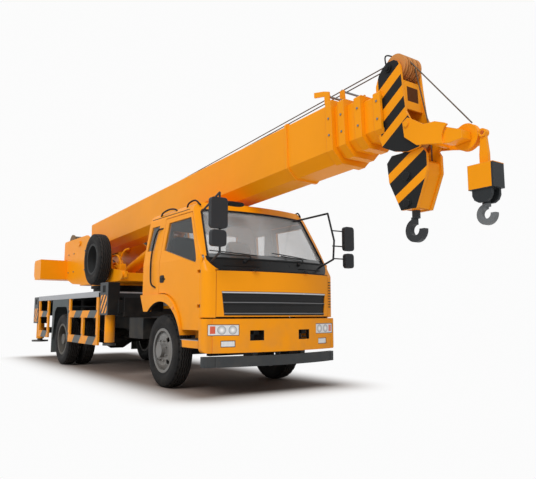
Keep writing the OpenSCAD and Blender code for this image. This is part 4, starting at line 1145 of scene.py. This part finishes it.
    def guard(self, trim: bpy.types.Material) -> None:
        """Hoop over the upper sheaves that keeps the ropes in, and the caps of its bolts."""
        solid = Solid()
        hoop = np.array([(8.95, 0.66, -0.155), (8.942, 0.765, -0.155), (8.955, 0.795, -0.12),
                         (8.96, 0.797, 0.0), (8.955, 0.795, 0.12), (8.942, 0.765, 0.155),
                         (8.95, 0.66, 0.155)])
        solid.tube(path_through(boom_point(*hoop.T), 8), 0.008)
        cap = [[0.002, -0.004], [0.045, -0.004], [0.045, 0.014], [0.026, 0.014], [0.026, 0.03],
               [0.002, 0.03]]
        for side in Side:
            solid.turned(cap, boom_point(8.985, 0.62, side.value * 0.17), (0.0, side.value, 0.0), 24)
        solid.piece("sheave_guard", "boom_section_4", "plastic", trim)

    def to_block(self, rope: bpy.types.Material) -> None:
        """Falls to the hook block: from the lower sheaves in front, and from eyes round their pin
        behind."""
        solid = Solid()
        top = boom_point(*self.lower)
        pin = top - np.array([0.0, 0.0, self.drop])
        turn = np.linspace(0, 2 * np.pi, 24, endpoint=False)[:, None]
        for sign in (-1.0, 1.0):
            side = sign * self.block_side
            front = top + np.array([self.lower_wrap, sign * self.outer, 0.0])
            solid.tube(np.linspace(front, pin + np.array([self.block_wrap, side, 0.0]), 40), self.radius)
            rear = top + np.array([self.rear_fall[0], side, self.rear_fall[1]])
            solid.tube(np.linspace(rear, pin + np.array([-self.block_wrap, side, 0.0]), 40), self.radius)
            eye = self.eye * np.hstack([np.cos(turn), 0 * turn, np.sin(turn)])
            solid.tube(top + np.array([0.0, side, 0.0]) + eye, 0.011, 10, True)
        piece = solid.piece("rope_falls", "hook_falls", "dark", rope, ride=False)
        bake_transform(piece)
        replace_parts(piece, "hook_falls")

    def block_covers(self, paint: bpy.types.Material) -> None:
        """Bent plates that close the hook block's front and back below the ropes."""
        solid = Solid()
        pin = boom_point(*self.lower) - np.array([0.0, 0.0, self.drop])
        front = np.array([[0.205, 0.135], [0.24, 0.105], [0.243, 0.012], [0.098, -0.332]])
        rear = np.array([[-0.205, 0.135], [-0.24, 0.105], [-0.2235, -0.02], [-0.077, -0.332]])
        for line, inward in ((front, -self.cover), (rear, self.cover)):
            ring = np.vstack([line, line[::-1] + np.array([inward, 0.0])])
            flat = np.column_stack([ring[:, 0], 0 * ring[:, 0], ring[:, 1]])
            solid.plate(*(pin + flat + np.array([0.0, side, 0.0]) for side in (-self.cheek, self.cheek)))
        solid.piece("hook_block_covers", "hook_block", "orange", paint, 30.0)


@dataclass
class Cab:
    """Trim of the driver's cab: wipers, handles, rails, seals, lamps and what shows inside."""

    front: float = 1.43
    belt: float = 1.58
    sweep: float = 3.2
    rake: float = math.radians(32.0)

    def skin(self, across: Any, up: Any, out: float = 0.0) -> np.ndarray:
        """Points on the cab's front: a bowed wall below the belt, the same bow leaned back above it.

        Args:
            across: Places across the cab.
            up: Heights.
            out: Distance in front of the wall.
        Returns:
            Points in the shared frame.
        """
        across, up = np.broadcast_arrays(np.asarray(across, float), np.asarray(up, float))
        bow = np.sqrt((self.sweep + out) ** 2 - across**2) - self.sweep
        run = (up - self.belt - bow * math.sin(self.rake)) / math.cos(self.rake)
        leaned = self.front + bow * math.cos(self.rake) - run * math.sin(self.rake)
        x = np.where(up > self.belt, np.minimum(leaned, self.front + bow), self.front + bow)
        return np.stack([x + AXLE_X, across, up], axis=-1)

    def build(self, wardrobe: Wardrobe) -> None:
        """Makes the cab's pieces."""
        trim = wardrobe.made["trim_plastic"]
        self.seals(trim)
        self.wipers(trim)
        self.handles(trim)
        self.rails(trim)
        self.lamps(wardrobe)
        self.inside(wardrobe)

    def seals(self, trim: bpy.types.Material) -> None:
        """Rubber round the windscreen: a bar carried round its outline."""
        solid = Solid()
        corners = np.array([[-0.965, 1.736], [0, 1.73], [0.965, 1.736], [0.972, 1.765], [0.872, 2.405],
                            [0.85, 2.432], [0, 2.435], [-0.85, 2.432], [-0.872, 2.405], [-0.972, 1.765],
                            [-0.965, 1.736]])
        steps = np.linspace(0, len(corners) - 1, 121)[:-1]
        low = np.floor(steps).astype(int)
        part = (steps - low)[:, None]
        outline = corners[low] * (1 - part) + corners[np.minimum(low + 1, len(corners) - 1)] * part
        solid.tube(self.skin(outline[:, 0], outline[:, 1], 0.001), 0.013, 8, True)
        solid.piece("windscreen_seal", "carrier", "plastic", trim)

    def wipers(self, trim: bpy.types.Material) -> None:
        """Two wipers lying along the foot of the windscreen."""
        solid = Solid()
        for pivot in (-0.52, 0.36):
            foot = self.skin(pivot, 1.70, 0.01)
            mid = self.skin(pivot + 0.09, 1.765, 0.035)
            tip = self.skin(pivot - 0.3, 1.80, 0.03)
            solid.tube(path_through([foot, mid, (mid + tip) / 2, tip], 8), 0.008)
            line = np.linspace(pivot - 0.42, pivot + 0.2, 16)
            solid.tube(self.skin(line, 1.785 + 0.05 * np.linspace(1, 0, 16), 0.018), 0.007, 8)
            cap = [[0.002, -0.02], [0.022, -0.02], [0.022, 0.012], [0.012, 0.022], [0.002, 0.022]]
            solid.turned(cap, foot, (0.85, 0.0, 0.53), 16)
        solid.piece("wipers", "carrier", "plastic", trim)
        slots = Solid()
        for low, high in ((-0.82, -0.32), (0.32, 0.8)):
            slots.tube(self.skin(np.linspace(low, high, 14), 1.635, 0.002), 0.007, 8, flat=0.5)
        slots.piece("cowl_slots", "carrier", "plastic", trim)

    def handles(self, trim: bpy.types.Material) -> None:
        """Oval door handles with a lock beside them."""
        for side in Side:
            solid = Solid()
            y = side.value * 1.066
            solid.pillow((AXLE_X - 0.005, y, 1.515), (0.075, 0.012, 0.055), 0.5, 14, 32)
            solid.pillow((AXLE_X, y + side.value * 0.012, 1.522), (0.055, 0.009, 0.016), 0.5, 10, 24)
            solid.turned([[0.002, -0.004], [0.013, -0.004], [0.013, 0.008], [0.002, 0.008]],
                         (AXLE_X + 0.09, y, 1.51), (0.0, side.value, 0.0), 16)
            solid.piece(f"door_handle_{side.word}", f"door_{side.word}", "plastic", trim)

    def rails(self, trim: bpy.types.Material) -> None:
        """Grab rails behind the doors, roof gutters and the look-down mirror over the windscreen."""
        solid = Solid()
        for side in Side:
            grab = [(0.955, 0.985, 2.272), (0.83, 1.02, 2.25), (0.765, 1.052, 2.08), (0.755, 1.087, 1.83),
                    (0.775, 1.10, 1.58), (0.815, 1.10, 1.45), (0.90, 1.066, 1.395)]
            roof = [(0.73, 0.93, 2.47), (0.85, 0.955, 2.52), (1.04, 0.945, 2.548), (1.2, 0.93, 2.53),
                    (1.29, 0.92, 2.48)]
            stay = [(1.56, 0.92, 2.48), (1.62, 0.925, 2.55), (1.76, 0.90, 2.575), (1.86, 0.87, 2.50)]
            for route, radius in ((grab, 0.012), (roof, 0.013), (stay, 0.012)):
                solid.tube(path_through(np.array(route) * np.array([1, side.value, 1]), 10), radius)
            ends = (AXLE_X - 0.62, side.value * 0.952, 2.452), (AXLE_X + 0.60, side.value * 0.952, 2.452)
            solid.tube(np.linspace(*ends, 20), 0.009, 8)
        root = self.skin(-0.62, 2.49, -0.01)
        reach = np.array([2.14, -0.58, 2.515])
        solid.tube(path_through([root, (root + reach) / 2 + np.array([0, 0, 0.025]), reach], 8), 0.010)
        solid.pillow(reach + np.array([0.02, 0.06, -0.012]), (0.055, 0.15, 0.03), 0.55, 14, 36)
        solid.piece("cab_rails", "carrier", "plastic", trim)

    def lamps(self, wardrobe: Wardrobe) -> None:
        """Corner louvres, side repeaters, rear lamps, and faces of the mirrors."""
        solid = Solid()
        for level in np.linspace(1.12, 1.47, 10):
            solid.tube(self.skin(np.linspace(0.945, 0.99, 6), level, 0.001), 0.013, 8, flat=0.5)
        solid.piece("corner_louvres", "carrier", "plastic", wardrobe.made["trim_plastic"])
        amber, red = Solid(), Solid()
        for side in Side:
            amber.pillow((AXLE_X + 0.43, side.value * 1.102, 1.10), (0.03, 0.008, 0.018), 0.6, 10, 20)
            red.pillow((-5.777, side.value * 0.80, 0.63), (0.012, 0.10, 0.045), 0.35, 12, 28)
        amber.piece("side_repeaters", "carrier", "glass", wardrobe.made["amber_lens"])
        red.piece("rear_lamps", "carrier", "glass", wardrobe.made["red_lens"])
        faces = Solid()
        cases = ((-1.17, -0.93, 2.065, 2.45), (-1.16, -0.945, 1.842, 2.045),
                 (1.035, 1.215, 1.92, 2.268), (1.045, 1.205, 1.67, 1.88))
        for inner, outer, low, high in cases:
            middle = (AXLE_X + 1.494, (inner + outer) / 2, (low + high) / 2)
            faces.pillow(middle, (0.004, (outer - inner) / 2 - 0.012, (high - low) / 2 - 0.012), 0.3)
        faces.piece("mirror_faces", "carrier", "steel", wardrobe.made["mirror_face"])

    def inside(self, wardrobe: Wardrobe) -> None:
        """Seats, dashboard and steering wheel, which stand for the plain inside."""
        cloth, trim = wardrobe.made["seat_cloth"], wardrobe.made["trim_plastic"]
        for side in Side:
            word = side.word
            y = side.value * 0.5
            cushion = Solid()
            cushion.pillow((AXLE_X - 0.19, y, 1.45), (0.235, 0.238, 0.08), 0.42)
            seat = cushion.piece(f"seat_cushion_{word}", "carrier", "dark", cloth)
            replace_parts(seat, "cab_inside")
            back = Solid()
            self.backrest(back, (AXLE_X - 0.41, y, 1.87), 0.34, 0.235, 0.065)
            rest = back.piece(f"seat_back_{word}", "carrier", "dark", cloth)
            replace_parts(rest, "cab_inside")
            box = Solid()
            box.pillow((AXLE_X - 0.19, y, 1.265), (0.20, 0.20, 0.115), 0.15)
            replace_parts(box.piece(f"seat_box_{word}", "carrier", "dark", trim), "cab_inside")
        dash = Solid()
        profile = np.array([[0.90, 1.152], [1.04, 1.152], [1.05, 1.48], [1.12, 1.50], [1.125, 1.575],
                            [1.0, 1.592], [0.86, 1.588], [0.815, 1.56], [0.825, 1.45]])
        ring = path_through(np.column_stack([profile, np.zeros(len(profile))]), 5)[:, :2]
        across = np.linspace(-0.79, 0.79, 24)
        along, up = ring[None, :, 0] + AXLE_X, ring[None, :, 1]
        surface = np.stack(np.broadcast_arrays(along, across[:, None], up), -1)
        dash.grid(surface, wrap_columns=True, cap=True)
        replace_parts(dash.piece("dashboard", "carrier", "plastic", trim), "cab_inside")
        wheel = Solid()
        hub = np.array([AXLE_X + 0.61, 0.5, 1.646])
        axis = unit(np.array([-0.829, 0.0, 0.559]))
        right = np.array([0.0, 1.0, 0.0])
        up = np.cross(axis, right)
        turn = np.linspace(0, 2 * np.pi, 48, endpoint=False)[:, None]
        wheel.tube(hub + 0.213 * (np.cos(turn) * right + np.sin(turn) * up), 0.016, 10, True)
        for angle in (0.0, 2.1, 4.2):
            tip = hub + 0.21 * (math.cos(angle) * right + math.sin(angle) * up)
            wheel.tube(np.linspace(hub, tip, 8), 0.012)
        wheel.tube(np.linspace(hub, hub - axis * 0.29, 8), 0.03, 12)
        wheel.pillow(hub, (0.04, 0.055, 0.055), 0.6, 12, 24)
        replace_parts(wheel.piece("steering_wheel", "carrier", "plastic", trim), "cab_inside")
        seat = Solid()
        seat.pillow((-3.41, 0.915, 2.10), (0.24, 0.205, 0.07), 0.42)
        seat.piece("operator_cushion", "turntable", "dark", cloth)
        back = Solid()
        self.backrest(back, (-3.63, 0.915, 2.40), 0.29, 0.2, 0.06)
        back.piece("operator_backrest", "turntable", "dark", cloth)

    @staticmethod
    def backrest(solid: Solid, middle: Sequence[float], tall: float, wide: float, thick: float) -> None:
        """Adds a backrest: a rounded block leaned back and hollowed along its middle."""
        part = Solid()
        part.pillow((0.0, 0.0, 0.0), (thick, wide, tall), 0.45, 26, 44)
        points = part.points[0].copy()
        points[:, 0] += -0.17 * points[:, 2] - 0.02 * np.cos(points[:, 1] / wide * np.pi / 2) ** 2
        solid.add(points + np.asarray(middle, float), part.faces, part.uvs[0])


@dataclass
class Machinery:
    """Hoses, pipes and bolts on the turntable and boom, and ribs on the cab's steps."""

    ring_radius: float = 0.588
    slew: tuple[float, float] = (-3.285, 0.0)

    def build(self, wardrobe: Wardrobe) -> None:
        """Makes the machinery's pieces."""
        self.bolts(wardrobe.made["bolt_steel"])
        self.hoses(wardrobe.made["hose_rubber"])
        self.pipes(wardrobe.made["pipe_paint"])
        self.steps(wardrobe)

    def bolts(self, steel: bpy.types.Material) -> None:
        """Bolt heads round the slewing ring, on the turntable's side plates and on the boom's collars."""
        solid = Solid()
        turn = np.linspace(0, 2 * np.pi, 40, endpoint=False)
        rim = np.column_stack([self.slew[0] + self.ring_radius * np.cos(turn),
                               self.slew[1] + self.ring_radius * np.sin(turn), np.full(40, 1.661)])
        solid.studs(rim[np.abs(rim[:, 1]) < 0.55], (0, 0, 1), 0.013, 0.014)
        plate = np.array([[x, -0.601, z] for x in (-5.1, -4.7, -3.9, -3.5) for z in (1.98, 2.4)])
        solid.studs(plate, (0, -1, 0), 0.016, 0.014)
        solid.studs(plate * np.array([1, -1, 1]), (0, 1, 0), 0.016, 0.014)
        solid.piece("turntable_bolts", "turntable", "steel", steel)
        collars = (("boom_pad_bolts", "boom_base", 8.18, 0.318),
                   ("pad_bolts_2", "boom_section_2", 8.35, 0.283),
                   ("pad_bolts_3", "boom_section_3", 8.58, 0.251),
                   ("pad_bolts_4", "boom_section_4", 8.835, 0.215))
        for name, body, along, half in collars:
            pads = Solid()
            for side in Side:
                pads.studs(boom_point(along, np.array([0.10, 0.30]), side.value * half), (0, side.value, 0),
                           0.014, 0.010)
            pads.piece(name, body, "steel", steel)

    def hoses(self, rubber: bpy.types.Material) -> None:
        """Hydraulic hoses from the swivel to the luff cylinder, the winch and the valve block."""
        solid = Solid()
        routes = (((-3.2, -0.22, 1.66), (-3.05, -0.25, 1.86), (-3.25, -0.2, 1.96), (-3.22, -0.15, 1.85)),
                  ((-3.4, 0.2, 1.66), (-3.7, 0.28, 1.95), (-4.4, 0.38, 2.15), (-5.1, 0.45, 2.35)),
                  ((-3.5, -0.2, 1.66), (-3.8, -0.34, 1.9), (-4.4, -0.42, 2.1), (-5.0, -0.45, 2.3)),
                  ((-3.0, 0.3, 1.66), (-2.8, 0.36, 1.84), (-2.4, 0.42, 1.82), (-2.0, 0.46, 1.70)),
                  ((-3.0, -0.3, 1.66), (-2.8, -0.4, 1.90), (-2.4, -0.44, 1.86), (-1.95, -0.46, 1.70)))
        for route in routes:
            solid.tube(path_through(route, 12), 0.016, 10)
        for across in (-0.46, 0.46):
            solid.pillow((-2.0, across, 1.70), (0.13, 0.07, 0.05), 0.2)
        solid.piece("hydraulic_hoses", "turntable", "plastic", rubber)

    def pipes(self, paint: bpy.types.Material) -> None:
        """Painted pipes and a valve bank on the turntable's bed, between the spare wheel and the cab."""
        solid = Solid()
        routes = (((-2.72, -0.50, 1.72), (-2.66, -0.52, 2.0), (-2.5, -0.52, 2.14), (-2.2, -0.50, 2.16),
                   (-2.1, -0.46, 2.0)),
                  ((-2.62, -0.46, 1.72), (-2.55, -0.47, 1.92), (-2.35, -0.48, 2.02), (-2.12, -0.46, 1.92)),
                  ((-2.42, -0.53, 1.72), (-2.40, -0.54, 1.86), (-2.3, -0.53, 1.95), (-2.08, -0.42, 1.86)),
                  ((-2.32, -0.42, 1.72), (-2.28, -0.40, 2.1), (-2.2, -0.36, 2.26), (-2.1, -0.30, 2.3)))
        for route in routes:
            solid.tube(path_through(route, 10), 0.018, 10)
        for along in np.linspace(-2.28, -2.05, 4):
            solid.pillow((along, -0.44, 1.90), (0.026, 0.06, 0.09), 0.25, 12, 24)
            solid.tube(np.linspace((along, -0.44, 1.98), (along, -0.46, 2.06), 4), 0.010, 8)
        solid.pillow((-2.165, -0.44, 1.79), (0.17, 0.08, 0.05), 0.2, 12, 28)
        solid.piece("hydraulic_pipes", "turntable", "orange", paint)

    def steps(self, wardrobe: Wardrobe) -> None:
        """Ribbed treads on the cab steps."""
        solid = Solid()
        for side in Side:
            for along in np.linspace(1.80, 2.17, 8):
                ends = (along, side.value * 0.86, 0.691), (along, side.value * 1.06, 0.691)
                solid.tube(np.linspace(*ends, 6), 0.007, 8, flat=0.6)
        solid.piece("step_treads", "carrier", "steel", wardrobe.made["bolt_steel"])


@dataclass
class Studio:
    """Camera, light and floor."""

    eye: tuple[float, float, float] = (8.615, -4.549, 1.03)
    azimuth: float = 54.55
    look_up: float = 7.4
    lens: float = 38.13
    middle: float = -1.75
    reach: tuple[float, float] = (3.9, 0.95)
    fade_near: float = 0.0
    fade_far: float = 1.15
    sun: float = 2.0
    sun_angle: float = 38.0
    sunbeam: tuple[float, float, float] = (-0.45, 0.62, -0.9)
    sky: float = 0.42
    backdrop: tuple[float, float, float, float] = (0.97, 0.97, 0.97, 1.0)
    # Tone of the shadow painted on the floor close under the crane
    shade: Tone = Tone(132, 119, 111)
    ground: Tone = Tone(244, 243, 241)
    ground_radius: float = 60.0
    ground_level: float = -0.002

    def camera(self) -> None:
        """Places the camera at the photograph's angle."""
        data = bpy.data.cameras.new("camera")
        data.lens = self.lens
        data.sensor_width = 36.0
        data.clip_end = 200.0
        made = bpy.data.objects.new("camera", data)
        turn, rise = math.radians(self.azimuth), math.radians(self.look_up)
        ahead = Vector((-math.sin(turn) * math.cos(rise), math.cos(turn) * math.cos(rise), math.sin(rise)))
        made.location = self.eye
        made.rotation_euler = ahead.to_track_quat("-Z", "Y").to_euler()
        bpy.context.scene.collection.objects.link(made)
        bpy.context.scene.camera = made

    def light(self) -> None:
        """A soft sun, a pale sky that is white to the camera, and no lamps near the crane."""
        sun = bpy.data.lights.new("sun", "SUN")
        sun.energy = self.sun
        sun.angle = math.radians(self.sun_angle)
        made = bpy.data.objects.new("sun", sun)
        made.rotation_euler = Vector(self.sunbeam).to_track_quat("-Z", "Y").to_euler()
        bpy.context.scene.collection.objects.link(made)
        sky = Shader("sky", sky=True)
        plain = sky.value("ShaderNodeBackground", {}, {0: (1.0, 1.0, 1.0, 1.0), 1: self.sky})
        white = sky.value("ShaderNodeBackground", {}, {0: self.backdrop})
        bpy.context.scene.world = sky.end(sky.choose(sky.seen(), plain, white))

    def floor(self) -> None:
        """A pale floor that keeps the crane's shadow, has a painted shadow of deeper tone close under it,
        and fades into the backdrop for rays that show it."""
        shader = Shader("floor")
        x, y, _z = shader.axes()
        beyond = (abs(x - self.middle) - self.reach[0]).above(0.0)
        beside = (abs(y) - self.reach[1]).above(0.0)
        spread = (beyond.square() + beside.square()).root().ramp(self.fade_near, self.fade_far)
        # Painted shadow: the floor's colour deepens to the shade tone close under the crane
        color = shader.mix(spread, self.shade.linear(), self.ground.linear())
        near = shader.value("ShaderNodeBsdfPrincipled", {}, {"Base Color": color, "Roughness": 0.9,
                                                             "Specular IOR Level": 0.1})
        far = shader.value("ShaderNodeEmission", {}, {0: self.backdrop, 1: 1.0})
        material = shader.end(shader.choose(spread * shader.seen(), near, far))
        radius = np.linspace(0.0, self.ground_radius, 40)[:, None]
        turn = np.linspace(0, 2 * np.pi, 48, endpoint=False)[None, :]
        x, y = radius * np.cos(turn), radius * np.sin(turn)
        points = np.stack(np.broadcast_arrays(x, y, self.ground_level), -1)
        solid = Solid()
        solid.grid(points, wrap_columns=True)
        mesh = bpy.data.meshes.new("floor")
        mesh.from_pydata(np.vstack(solid.points).tolist(), [], np.vstack(solid.faces).tolist())
        mesh.materials.append(material)
        made = bpy.data.objects.new("floor", mesh)
        bpy.context.scene.collection.objects.link(made)


def main() -> None:
    """Loads the frame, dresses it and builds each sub-assembly."""
    logging.basicConfig(level=logging.INFO, format="%(message)s")
    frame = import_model()
    bpy.context.scene.view_settings.view_transform = "Standard"
    studio = Studio()
    studio.camera()
    studio.light()
    studio.floor()
    wardrobe = Wardrobe(frame["nodes"])
    wardrobe.cab()
    wardrobe.carrier()
    wardrobe.upper()
    wardrobe.spare()
    axles = Axles()
    tyres = Tyres(wardrobe)
    tyres.build(axles)
    axles.build_spare(tyres, wardrobe)
    Ropes().build(wardrobe)
    Cab().build(wardrobe)
    Machinery().build(wardrobe)


if __name__ == "__main__":
    main()
